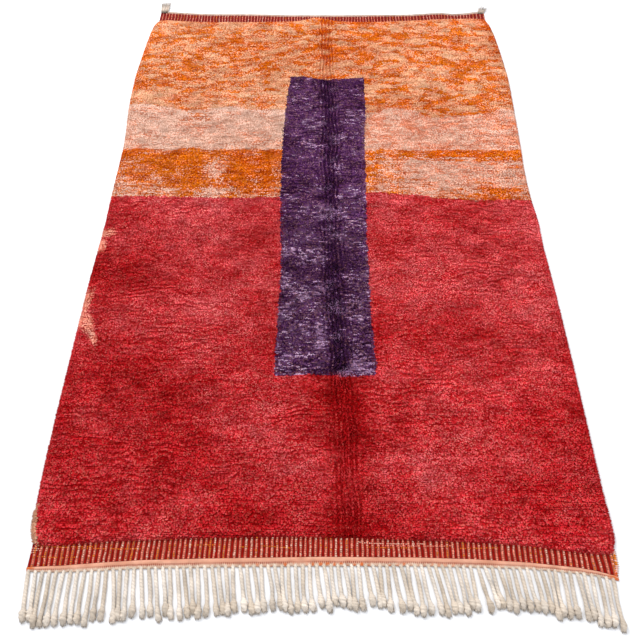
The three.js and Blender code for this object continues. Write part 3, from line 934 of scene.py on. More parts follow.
    def marled(self, x: Array, y: Array, row: Array) -> Array:
        """Colours of the mixed yarns, in blotches over several rows or in streaks along them.

        Each area ranks its knots by a sum of blotches, streaks and a touch of chance. The rank
        picks orange, coral or pale, by the shares of the area.

        Args:
            x: Places across.
            y: Places along.
            row: Number of the row of knots.

        Returns:
            One colour for each knot.
        """
        streak = ripple(x / 34 + 7.3 * row, row * 1.0, 11)
        chance = lattice(np.round(x * 10), row, 14) - 0.5
        slant = x + 0.9 * y * np.sign(ripple(x / 170, y / 120, 20)) + 16 * ripple(x / 24, y / 24, 9)
        blotch = ripple(slant / 52, y / 26, 12) + 0.5 * ripple(slant / 22, y / 10, 13)
        cloud = ripple(x / 150, y / 90, 10)
        soft_y = y + 9 * ripple(x / 45, y / 30, 15) + 4 * ripple(x / 14, y / 9, 16)
        fuzzy_y = np.where(y > 500, y + 45 * ripple(x / 110, y / 60, 17), soft_y)
        soft_x = x + 14 * ripple(x / 30, y / 14, 18)
        area = np.zeros(len(x), int)
        for number, marl in enumerate(self.marls):
            across = (soft_x > marl.left) & (soft_x < marl.right)
            area[across & (fuzzy_y > marl.low) & (fuzzy_y < marl.high)] = number
        part = 0.5 + 0.5 * ripple(x / 50, y / 18, 19)
        push = np.zeros(len(x))
        for patch in self.patches:
            bell = np.exp(-(((x - patch.x) / patch.half_x) ** 2) - ((y - patch.y) / patch.half_y) ** 2)
            push += patch.push * bell
        coral_part = np.zeros(len(x))
        orange_part = np.zeros(len(x))
        for number, marl in enumerate(self.marls):
            here = np.flatnonzero(area == number)
            mix = marl.blotch * blotch[here] + (1 - marl.blotch) * 0.8 * streak[here]
            score = evened(mix + 0.3 * cloud[here] + 1.1 * chance[here]) - push[here]
            coral_part[here] = np.clip((marl.orange + marl.coral - score) / 0.16 + 0.5, 0, 1)
            orange_part[here] = np.clip((marl.orange - score) / 0.10 + 0.5, 0, 1)
        sandy = np.array([marl.palest is Dyes.SAND for marl in self.marls])[area]
        palest = blended(Dyes.PALE.coloured(part), Dyes.SAND.coloured(part), sandy)
        colour = blended(palest, Dyes.CORAL.coloured(part), coral_part)
        return blended(colour, Dyes.ORANGE.coloured(part), orange_part)

    def violet(self, x: Array, y: Array, row: Array) -> Array:
        """Colours of the bar: violet with short lilac flecks, more of them towards the near end.

        Args:
            x: Places across.
            y: Places along.
            row: Number of the row of knots.

        Returns:
            One colour for each knot.
        """
        streak = ripple(x / 15 + 3.1 * row, row * 1.0, 21) + 0.6 * ripple(x / 70, y / 40, 22)
        fleck = evened(streak + 0.4 * (lattice(np.round(x * 10), row, 23) - 0.5))
        share = np.interp(y + 20 * ripple(x / 60, y / 60, 24), (-800, 60, 130, 900), (0.26, 0.23, 0.12, 0.09))
        part = 0.5 + 0.5 * ripple(x / 40, y / 25, 25)
        colour = Dyes.VIOLET.coloured(part)
        colour = blended(colour, dye(92, 66, 90), np.clip((80 - y) / 300, 0, 1) * 0.25)
        lightness = np.clip((fleck - 1 + share) / share, 0, 1) ** 0.6
        return blended(colour, Dyes.LILAC.coloured(part), lightness)

    def colours(self, x: Array, y: Array, row: Array) -> Array:
        """Colour of each knot.

        Args:
            x: Places across.
            y: Places along.
            row: Number of the row of knots.

        Returns:
            One linear colour for each knot.
        """
        colour = self.marled(x, y, row)
        red = self.in_red(x, y)
        part = 0.5 + 0.35 * ripple(x / 90, y / 60, 31) + 0.25 * ripple(x / 22, y / 14, 32)
        # Share of rose red: more towards the far end and the right, in slow clouds, and from knot to knot
        rose_share = 0.34 + np.clip(y + 450, -450, 500) / 2600 + x / 6500
        rose_share += 0.26 * ripple(x / 260, y / 190, 33) + 0.26 * ripple(x / 70, y / 45, 34)
        rose_share += 0.8 * (lattice(np.round(x * 10), row, 35) - 0.5)
        reds = blended(Dyes.RED.coloured(part), Dyes.ROSE_RED.coloured(part), rose_share)
        colour[red] = reds[red]
        bar = self.in_bar(x, y)
        colour[bar] = self.violet(x, y, row)[bar]
        return colour


@dataclass
class Pile:
    """The knotted pile: rows of locks that lean towards the fringed end.

    Attributes:
        lie: How the rug lies.
        layout: Its colour fields.
        knot_pitch: Distance between knots in a row.
        row_pitch: Distance between rows.
        height: Height of the lock tips over the dense lower part.
        width: Distance of a lock's shoulders from its middle.
        nap: How far a lock leans towards the fringed end.
        furrow: Distance between the crosswise furrows of the pile.
        furrow_depth: Depth of a furrow.
        crease_pitch: Distance between the lengthwise furrows beside the crease.
        rim_pitch: Distance between the locks that hang over the edge.
    """

    lie: Lie
    layout: Layout
    knot_pitch: float = 5.6
    row_pitch: float = 5.5
    height: float = 7.5
    width: float = 3.9
    nap: float = 9.5
    furrow: float = 24.0
    furrow_depth: float = 5.5
    crease_pitch: float = 17.0
    rim_pitch: float = 3.2

    finish = YarnFinish(
        "pile_wool", fibre_scale=330, stretch=(0.7, 1.1, 1), tone=1.1, relief=0.0012, sheen=0.0,
    )

    def knots(self) -> tuple[Array, Array, Array]:
        """Sets out the knots in uneven rows inside the outline of the ground.

        Returns:
            X, Y and the row of each knot.
        """
        reach_x, reach_y = np.abs(self.lie.ring).max(axis=0) + self.row_pitch
        columns = np.arange(-reach_x, reach_x, self.knot_pitch)
        rows = np.arange(-reach_y, reach_y, self.row_pitch)
        column, row = np.meshgrid(np.arange(len(columns)), np.arange(len(rows)), indexing="ij")
        x = columns[column] + self.knot_pitch * (0.5 * (row % 2) + 0.7 * (lattice(column, row, 41) - 0.5))
        wander = 2.0 * ripple(x / 110, row * 0.4, 42)
        y = rows[row] + wander + self.row_pitch * 0.6 * (lattice(column, row, 43) - 0.5)
        inside = self.lie.gaps(x, y).min(axis=-1) > 2
        return x[inside], y[inside], row[inside]

    def furrows(self, x: Array, y: Array) -> tuple[Array, Array, Array]:
        """Crosswise furrows, and lengthwise ones beside the crease.

        A furrow runs wherever a phase is whole. The phase grows along Y and is bent by slow
        unevenness, so that the furrows wander and break off. Near the crease a phase that grows
        across X takes over. The depth falls off as one less the size of a sine of the phase.

        Args:
            x: Places across.
            y: Places along.

        Returns:
            Depth from 0 on a crest to about 1 in a furrow, and how far the tips draw away from
            the furrows across and along, from -1 to 1.
        """
        bend = 0.8 * ripple(x / 66, y / 40, 51) + 0.4 * ripple(x / 26, y / 18, 52)
        crosswise = y / self.furrow + bend
        finer = y / (0.52 * self.furrow) + 1.1 * ripple(x / 34, y / 20, 58)
        beside = self.lie.from_crease(x, y)
        wander = 7 * ripple(x / 60, y / 80, 53) + 3 * ripple(x / 30, y / 28, 48)
        lengthwise = (beside + wander) / self.crease_pitch
        nearness = np.exp(-((beside / 36) ** 2)) * (0.85 + 0.2 * ripple(x / 60, y / 60, 55))
        strength = 0.5 + 0.7 * ripple(x / 52, y / 30, 54) + 0.35 * ripple(x / 230, y / 170, 56)
        strength = np.clip(strength, 0.05, 1.3)
        fine = np.clip(0.45 + 0.6 * ripple(x / 30, y / 18, 59), 0, 1)
        lines = np.clip(0.85 + 0.9 * ripple(x / 30, y / 40, 57), 0.1, 1.3)
        curl = np.clip(0.6 * ripple(x / 10, y / 6, 60) + 0.4 * ripple(x / 20, y / 11, 49), 0, 1)
        depth = strength * (1 - np.abs(np.sin(math.pi * crosswise))) ** 2
        depth = np.maximum(depth, 0.7 * fine * (1 - np.abs(np.sin(math.pi * finer))) ** 2)
        depth = (0.6 * depth + 0.45 * curl) * (1 - nearness)
        depth = depth + 3.4 * lines * (1 - np.abs(np.sin(math.pi * lengthwise))) * nearness
        calm = 1 - 0.7 * (~self.layout.in_red(x, y) & ~self.layout.in_bar(x, y)) * (1 - nearness)
        along = calm * strength * np.sin(2 * math.pi * crosswise) * (1 - nearness)
        across = 1.6 * lines * np.sin(2 * math.pi * lengthwise) * nearness
        return calm * depth, across, along

    def wool(self, x: Array, y: Array, row: Array) -> Array:
        """Colour of each lock, with a slow painted light and shade that the lie of the pile gives, and a
        random tone from knot to knot.

        Args:
            x: Places across.
            y: Places along.
            row: Number of the row of knots.

        Returns:
            One linear colour for each lock.
        """
        chance = lattice(np.round(x * 8), np.round(y * 8), 61)
        colour = self.layout.colours(x, y, row)
        bare = self.lie.gaps(x, y)[:, 0] < self.selvedge_width(y)
        colour[bare] = Dyes.TAN.coloured(chance)[bare]
        undyed = np.clip(1.5 * self.layout.undyed(x, y) + 0.5 * (chance - 0.5), 0, 0.82)
        colour = blended(colour, Dyes.BLUSH.coloured(chance), undyed)
        beside = self.lie.from_crease(x, y)
        bar = self.layout.in_bar(x, y)
        red = self.layout.in_red(x, y) & ~bar
        # Painted light and shade: slow clouds where the lie of the pile turns it to or from the light,
        # lighter over the relief's crests, and darker along the crease; the knot-to-knot part of the tone is
        # the yarn's own
        cloud = 1.1 * ripple(x / 240, y / 170, 68) + 0.9 * ripple(x / 60, y / 34, 69)
        dark = red | bar
        tone = np.where(dark, 0.22, 0.10) * (1 - cloud) - 0.06 * self.lie.relief(x, y)
        tone += np.where(dark, 0.6, 0.2) * (chance - 0.5)
        tone += np.where(bar, 0.55 * np.exp(-((beside / 28) ** 2)), 0)
        tone += np.where(red, 0.65 * np.exp(-((beside / 100) ** 2)), 0)
        # Painted light: the pile is lighter towards the right
        return deepened(colour, tone) * (1 + 0.07 * np.clip(x / 600, -0.4, 1.2))[:, None]

    def locks(self) -> tuple[Array, Surface]:
        """Makes the upper part of each lock of the field.

        Returns:
            Place of each lock across and along, and the surface.
        """
        x, y, row = self.knots()
        jitter = [lattice(np.round(x * 8), np.round(y * 8), seed) - 0.5 for seed in range(62, 67)]
        depth, across, along = self.furrows(x, y)
        gaps = self.lie.gaps(x, y)
        rim = np.exp(-np.clip(gaps, 0, None) / 10)
        edge = np.clip(gaps.min(axis=-1), 0, None)
        body = self.lie.body(x, y)
        lift = 1.5 * jitter[0] + 0.6 * ripple(x / 8, row * 1.0, 47)
        top = body + self.height - self.furrow_depth * depth + 1.3 * lift - 2 * np.exp(-edge / 8)
        inner = 1 - 0.6 * np.exp(-edge / 12)
        beside = self.lie.from_crease(x, y)
        lean_x = (2.5 * ripple(x / 190, y / 140, 67) + 2.4 * jitter[1]) * inner + 2.2 * across
        lean_x += 7 * (rim[:, 1] - rim[:, 0]) + 2 * np.tanh(beside / 14) * np.exp(-np.abs(beside) / 40)
        lean_y = (-self.nap + 1.8 * jitter[2]) * inner + 2.2 * along + 7 * (rim[:, 3] - rim[:, 2])
        root = np.stack([x, y, body - 1], 1)
        wool = self.wool(x, y, row)
        width = self.width * (1 + 0.25 * jitter[3]) * (1 - 0.25 * np.exp(-((beside / 36) ** 2)))
        # Painted shade and highlight: locks are darkest at the root and darker in the furrows and dips, and
        # raised locks get a painted highlight at their tips
        shade = np.clip(-lift, 0, None) + depth
        lit = blended(wool, wool * 1.25 + 0.018, np.clip(lift - depth, 0, 1))
        shades = (deepened(wool, 1.2 + 0 * x), deepened(wool, 0.2 + 1.2 * shade), deepened(lit, 0.9 * shade))
        surface = leaning_locks(root, np.stack([lean_x, lean_y], 1), np.maximum(top, body + 2), width, shades)
        return np.stack([x, y], 1), surface

    def rim_locks(self) -> Surface:
        """Hangs three layers of whole locks over the edge of the ground.

        Returns:
            The locks as one surface.
        """
        ring = np.concatenate([self.lie.ring, self.lie.ring[:1]])
        way = np.concatenate([[0], np.cumsum(np.linalg.norm(np.diff(ring, axis=0), axis=1))])
        layer, step = np.meshgrid(np.arange(3), np.arange(int(way[-1] / self.rim_pitch)), indexing="ij")
        layer, step = layer.ravel(), step.ravel()
        jitter = [lattice(step, layer, seed) - 0.5 for seed in range(71, 77)]
        at = (step + 0.33 * layer + 0.5 * jitter[0]) * self.rim_pitch
        ahead = np.stack([np.interp(at + 6, way, ring[:, axis], period=way[-1]) for axis in (0, 1)], 1)
        behind = np.stack([np.interp(at - 6, way, ring[:, axis], period=way[-1]) for axis in (0, 1)], 1)
        run = (ahead - behind) / np.linalg.norm(ahead - behind, axis=1, keepdims=True)
        out = right_of(run)
        inset = np.array([1.0, 4.5, 9.0])[layer] + 2 * jitter[1]
        root = 0.5 * (ahead + behind) - out * inset[:, None]
        reach = np.array([13.0, 13.5, 12.0])[layer] + 3.0 * jitter[2] + 3.5 * np.clip(out[:, 1], -1, 0)
        reach += np.clip(-out[:, 0], 0, 1) * 6 * (self.selvedge_width(root[:, 1]) > 3)
        reach += np.clip(out[:, 0], 0, 1) * np.interp(root[:, 1], (-1420, -1250), (6, 0))
        reach += 9 * np.clip(out[:, 1], 0, 1) * np.exp(-(((root[:, 0] + 40) / 45) ** 2))
        sideways = 3 * jitter[3] - 2.0 * run[:, 1]
        tip = root + out * reach[:, None] + run * sideways[:, None]
        level = np.array([8.0, 13.0, 18.0])[layer] + 2.4 * jitter[4]
        row = np.round(root[:, 1] / self.row_pitch).astype(np.int64)
        inner = root - out * 8
        wool = self.wool(inner[:, 0], inner[:, 1], row)
        bare = (out[:, 0] < -0.75) & (self.selvedge_width(root[:, 1]) > 0)
        wool[bare] = Dyes.TAN.coloured(0.5 + jitter[5])[bare]
        root = np.column_stack([root, np.full(len(root), 3.0)])
        tip = np.column_stack([tip, level])
        # Painted shade: each hanging lock is darkest at its root
        shades = (
            deepened(wool, 1.2 + 0 * at),
            deepened(wool, 0.7 + jitter[5]),
            deepened(wool, 0.4 + jitter[5]),
        )
        return spindles(root, tip, 3.5 + 1.0 * jitter[5], 6 * jitter[0], 0.62, shades)

    @staticmethod
    def selvedge_width(y: Array) -> Array:
        """Width of the undyed edge that shows at the left, at places along."""
        return np.interp(y, (-1420, -1340, -1290), (13, 8, 0))

    def fields(self, place: Array) -> dict[str, Array]:
        """Shares locks out by colour field and side of the crease.

        Args:
            place: Place of each lock across and along.

        Returns:
            Which locks belong to each field, by its name.
        """
        x, y = place.T
        left = self.lie.from_crease(x, y) < 0
        bar = self.layout.in_bar(x, y)
        red = self.layout.in_red(x, y) & ~bar
        orange = ~red & ~bar
        return {
            "pile_orange_left": orange & left,
            "pile_orange_right": orange & ~left,
            "pile_red_left": red & left,
            "pile_red_right": red & ~left,
            "pile_violet_bar": bar,
        }

    def build(self, workshop: Workshop) -> list[bpy.types.Object]:
        """Makes the pieces of the pile, one for each colour field and side, and its rim."""
        place, surface = self.locks()
        pieces = [
            workshop.piece(name, surface.picked(chosen, 4), self.finish, "pile_wool", ("pile_field",))
            for name, chosen in self.fields(place).items()
        ]
        pieces.append(workshop.piece("pile_rim", self.rim_locks(), self.finish, "pile_wool", ("pile_field",)))
        return pieces


@dataclass
class PileBody:
    """The woven ground with the dense lower part of the pile, and the knots' backs below.

    Attributes:
        lie: How the rug lies.
        layout: The colour fields, which show through to the back.
        cells_across: Cells of its grid across, without those along its edges.
        cells_along: Cells of its grid along, without those along its edges.
    """

    lie: Lie
    layout: Layout
    cells_across: int = 60
    cells_along: int = 92

    finish = YarnFinish(
        "ground_wool", fibre_scale=260, stretch=(1, 2.2, 1), tone=0.5, relief=0.0015, sheen=0.05,
    )

    @staticmethod
    def shares(cells: int, length: float) -> Array:
        """Sets out grid lines from 0 to 1, with finer ones along both edges.

        Args:
            cells: Cells between the finer ones.
            length: Length in millimetres.

        Returns:
            The place of each line.
        """
        fine = np.array([0.0, 3.0, 7.0, 13.0]) / length
        return np.concatenate([fine, np.linspace(22 / length, 1 - 22 / length, cells + 1), 1 - fine[::-1]])

    def surface(self) -> Surface:
        """Fills the outline with a grid.

        A share u runs from the left edge to the right and a share v from the near edge to the far.
        Y is first read between the end edges, and X between the side edges at that Y.

        Returns:
            The body as a closed slab.
        """
        across, along = self.shares(self.cells_across, 1850), self.shares(self.cells_along, 2800)
        u, v = np.meshgrid(across, along, indexing="ij")
        guess_x = self.lie.left(v * 0) * (1 - u) + self.lie.right(v * 0) * u
        y = self.lie.near(guess_x) * (1 - v) + self.lie.far(guess_x) * v
        x = self.lie.left(y) * (1 - u) + self.lie.right(y) * u
        top = np.stack([x, y, self.lie.body(x, y)], -1)
        bottom = np.stack([x, y, x * 0], -1)
        flat_x, flat_y = x.ravel(), y.ravel()
        row = np.floor(flat_y / 7).astype(np.int64)
        wool = self.layout.colours(flat_x, flat_y, row)
        shape = x.shape + (3,)
        # Painted shade on the body's top, which shows in the gaps between the locks
        return slab(top, bottom, deepened(wool, 0.9 + 0 * flat_x).reshape(shape), (wool * 0.8).reshape(shape))

    def build(self, workshop: Workshop) -> bpy.types.Object:
        """Makes the body."""
        return workshop.piece("pile_body", self.surface(), self.finish, "pile_wool", ("pile_field",))


class End(Enum):
    """The two flat ends of the rug."""

    NEAR = "kilim_near"
    FAR = "kilim_far"


@dataclass(frozen=True)
class CrossPick:
    """A pick of another yarn that shows over the dark ribs: its ends, its place along and its yarn."""

    first: float
    last: float
    y: float
    yarn: Dyes


@dataclass
class FlatEnd:
    """A flat-woven end: dark ribs of packed weft, with a column of light stitches between them.

    Attributes:
        end: Which end it is.
        stitch_radius: Radius of a light stitch.
        hem_width: Width of the folded hem at the outer edge, or 0.
        cross_picks: Picks that show over the dark ribs.
        bound: Whether the right edge is bound with light stitches.
        rib_pairs: Number of dark and light pairs across.
        rows: Rows of the ground's grid along the rug.
        dark_share: Share of a pair that its dark rib takes.
        height: Height of the ground between its ribs.
        pick: Distance between the stitches of a column.
    """

    end: End
    stitch_radius: float
    hem_width: float = 0.0
    cross_picks: tuple[CrossPick, ...] = ()
    bound: bool = False
    rib_pairs: int = 109
    rows: int = 18
    dark_share: float = 0.48
    height: float = 4.0
    pick: float = 6.4

    dark_columns = 4
    crossing_step = 5.0
    finish = YarnFinish(
        "flat_weave_wool", fibre_scale=320, stretch=(1, 2.6, 1), tone=0.5, relief=0.0009, sheen=0.1,
    )

    def __post_init__(self) -> None:
        """Reads the edges of the weave from its solid."""
        points = node_points(self.end.value)
        low = points[points[:, 2] < 0.1]
        self.stations, which = np.unique(np.round(low[:, 0], 1), return_inverse=True)
        self.upper = np.full(len(self.stations), -np.inf)
        self.lower = np.full(len(self.stations), np.inf)
        np.maximum.at(self.upper, which.ravel(), low[:, 1])
        np.minimum.at(self.lower, which.ravel(), low[:, 1])

    def edges(self, x: Array) -> tuple[Array, Array]:
        """The edges of the weave towards the far end and towards the near end, at places across."""
        return np.interp(x, self.stations, self.upper), np.interp(x, self.stations, self.lower)

    def placed(self, pair: Array, phase: Array, y: Array) -> Array:
        """Finds places across from the number of a pair of ribs and the place within it.

        The pairs have uneven widths that grow with the square of their distance from a place left
        of the middle, and the ribs sway a little along their length.

        Args:
            pair: Number of the pair.
            phase: Place within the pair, from 0 to 1.
            y: Place along.

        Returns:
            The place across.
        """
        number = np.arange(self.rib_pairs)
        widths = 1 + 0.3 * (lattice(number, 0, 71) - 0.5)
        widths *= 1 + 0.5 * (number / self.rib_pairs - 0.42) ** 2
        starts = np.concatenate([[0], np.cumsum(widths)]) / widths.sum()
        share = starts[pair] + phase * (starts[pair + 1] - starts[pair])
        inside = 4 * share * (1 - share)
        sway = 1.6 * ripple(y / 40, pair / 9, 72) + 0.8 * ripple(y / 14, pair * 1.0, 80)
        return self.stations[0] + share * np.ptp(self.stations) + sway * np.clip(12 * inside, 0, 1)

    def ground(self) -> Surface:
        """Carries the section of the ground across the rug.

        The height is half a sine over each dark rib and stays low between them. The hem is a low
        fold along the outer edge.

        Returns:
            The ground as one closed surface.
        """
        within = np.concatenate([
            np.linspace(0, self.dark_share, self.dark_columns, endpoint=False),
            self.dark_share + (1 - self.dark_share) * np.array([0, 0.22, 0.78]),
        ])
        pair = np.append(np.repeat(np.arange(self.rib_pairs), len(within)), self.rib_pairs - 1)[:, None]
        phase = np.append(np.tile(within, self.rib_pairs), 1)[:, None]
        middle = self.placed(pair, phase, pair * 0.0)
        upper, lower = self.edges(middle)
        along = np.linspace(0, 1, self.rows)
        y = upper * (1 - along) + lower * along
        x = self.placed(pair, phase, y)
        dark = phase < self.dark_share
        rib = np.where(dark, np.sin(math.pi * phase / self.dark_share), 0)
        z = self.height + 1.2 * rib + 0.25 * ripple(y / 4, x / 4, 75)
        red = Dyes.WEFT_RED.coloured(0.5 + 0.5 * ripple(x / 9, y / 3, 78))
        red = red * (1 if self.end is End.NEAR else 0.72)
        # Painted shade: the ground between the ribs, under the stitches, is dimmed, and each dark rib darkens
        # towards its sides
        shaded = 0.36 if self.end is End.NEAR else 0.24
        between = Dyes.ROSE.coloured(0.5 + 0.5 * ripple(x / 5, y / 5, 99)) * shaded
        light = np.clip(np.minimum(phase - self.dark_share, 1 - phase) * 12, 0, 1)
        wool = blended(red * (0.62 + 0.38 * rib)[..., None], between, light)
        if self.hem_width:
            depth = np.abs((upper if self.end is End.FAR else lower) - y)
            fold = np.clip(1.3 - depth / self.hem_width, 0, 1)
            z = z + 2.6 * np.sin(math.pi * np.clip(depth / self.hem_width, 0, 1)) - 1.2 * rib * fold
            pale = blended(dye(146, 122, 108), dye(190, 168, 152), 0.5 + 0.5 * ripple(x / 12, y / 6, 79))
            wool = blended(wool, pale, fold * 2.5)
        top = np.stack([x, y, z], -1)
        first, last = top[:, :1] * [1, 1, 0], top[:, -1:] * [1, 1, 0]
        rings = np.concatenate([first, top, last], 1)[None]
        rings_wool = np.concatenate([wool[:, :1], wool, wool[:, -1:]], 1)[None]
        return tubes(rings, rings_wool)

    def stitches(self) -> Surface:
        """Lays the light stitches, which slant one way and the other from pick to pick.

        Returns:
            All stitches as one surface.
        """
        picks = int(np.max(self.upper - self.lower) / self.pick)
        pair, pick = np.meshgrid(np.arange(self.rib_pairs), np.arange(picks), indexing="ij")
        pair, pick = pair.ravel(), pick.ravel()
        chance = [lattice(pair, pick, seed) - 0.5 for seed in (73, 74, 81, 82)]
        phase = np.full(len(pair), 0.5 + 0.5 * self.dark_share)
        upper, lower = self.edges(self.placed(pair, phase, pair * 0.0))
        edge = lower if self.end is End.NEAR else upper - self.hem_width
        step = self.pick * (1 if self.end is End.NEAR else -1)
        y = edge + step * (pick + 0.5 + 0.25 * chance[0])
        kept = (y > lower + 2) & (y < upper - 1)
        pair, pick, phase, y = pair[kept], pick[kept], phase[kept], y[kept]
        chance = [values[kept] for values in chance]
        x = self.placed(pair, phase, y) + 1.2 * chance[1]
        hand = np.where(pick % 2 == 0, 1, -1) * (0.8 + chance[2])
        start = np.column_stack([x - 3.8 * hand, y - 2.0, self.height + 1.0 + 0 * x])
        end = np.column_stack([x + 3.8 * hand, y + 2.0, self.height + 1.0 + 0 * x])
        hue = lattice(pair, 0, 76) + 0.35 * ripple(pair * 0.31, y / 30, 77) + 0.5 * chance[3]
        wool = Dyes.ROSE.coloured(chance[2] + 0.5)
        wool = blended(wool, Dyes.ORANGE.coloured(chance[1] + 0.5), (hue > 0.93) * 0.9)
        wool = blended(wool, Dyes.BLUSH.coloured(chance[1] + 0.5), (hue < 0.16) * 0.9)
        radius = self.stitch_radius * (1 + 0.4 * chance[0])
        # Painted shade at each stitch's ends and a painted highlight at its middle
        return spindles(start, end, radius, 0.5 + 0 * x, 0.5, (wool * 0.72, wool * 1.12, wool * 0.86))

    def crossing(self) -> list[Surface]:
        """Lays the picks of other yarns over the ribs, and the stitches that bind the right edge."""
        surfaces = []
        for number, row in enumerate(self.cross_picks):
            step = np.arange(int((row.last - row.first) / self.crossing_step))
            chance = [lattice(step, number, seed) for seed in (83, 84, 86)]
            seen = chance[0] > 0.3
            x = row.first + self.crossing_step * (step + 0.3 * chance[1])[seen]
            y = row.y + 1.6 * (chance[1] - 0.5)[seen] + 4 * ripple(x / 90, x * 0, 85)
            wool = row.yarn.coloured(chance[2])[seen]
            start = np.column_stack([x - 2.8, y - 0.6, self.height + 1.4 + 0 * x])
            end = np.column_stack([x + 2.8, y + 0.6, self.height + 1.4 + 0 * x])
            radius = np.full(len(x), 2.1)
            # Painted shade at each pick's ends
            surfaces.append(spindles(start, end, radius, x * 0, 0.5, (wool * 0.8, wool, wool * 0.85)))
        if self.bound:
            top, bottom = self.upper[-1] + 2, self.lower[-1]
            y = np.arange(top, bottom - 4, -5.4)
            edge = self.stations[-1] + np.interp(y, (bottom, bottom + 30, top), (-2, 8, 9))
            chance = lattice(np.arange(len(y)), 0, 87)
            wool = blended(Dyes.BLUSH.coloured(chance), Dyes.ORANGE.coloured(chance), chance > 0.6)
            wool[-3:] = dye(222, 100, 10)
            start = np.column_stack([edge - 14, y + 1.5, 4.8 + 0 * y])
            end = np.column_stack([edge + 5, y - 0.5, 3.6 + 0 * y])
            # Painted shade at each binding stitch's ends
            shades = (wool * 0.65, wool, wool * 0.7)
            surfaces.append(spindles(start, end, np.full(len(y), 3.2), y * 0, 0.5, shades))
        return surfaces

    def build(self, workshop: Workshop) -> bpy.types.Object:
        """Makes the flat end."""
        surface = joined([self.ground(), self.stitches(), *self.crossing()])
        node = self.end.value
        return workshop.piece(node + "_weave", surface, self.finish, "flat_weave_wool", (node,))


def chances(seed: int) -> Callable[[], float]:
    """Gives the same run of numbers as the rug's solids use.

    Each number is the one before times 1664525 plus 1013904223, over 2 to the power 32.

    Args:
        seed: The first number.

    Returns:
        A function that gives the next value, from -1 to 1.
    """
    state = seed

    def following() -> float:
        """Steps to the next value."""
        nonlocal state
        state = (state * 1664525 + 1013904223) % 4294967296
        return state / 4294967296 * 2 - 1

    return following


@dataclass(frozen=True)
class CordLay:
    """How the cords lie at a place along the hem: lean towards +X in degrees, and length."""

    x: float
    lean: float
    length: float


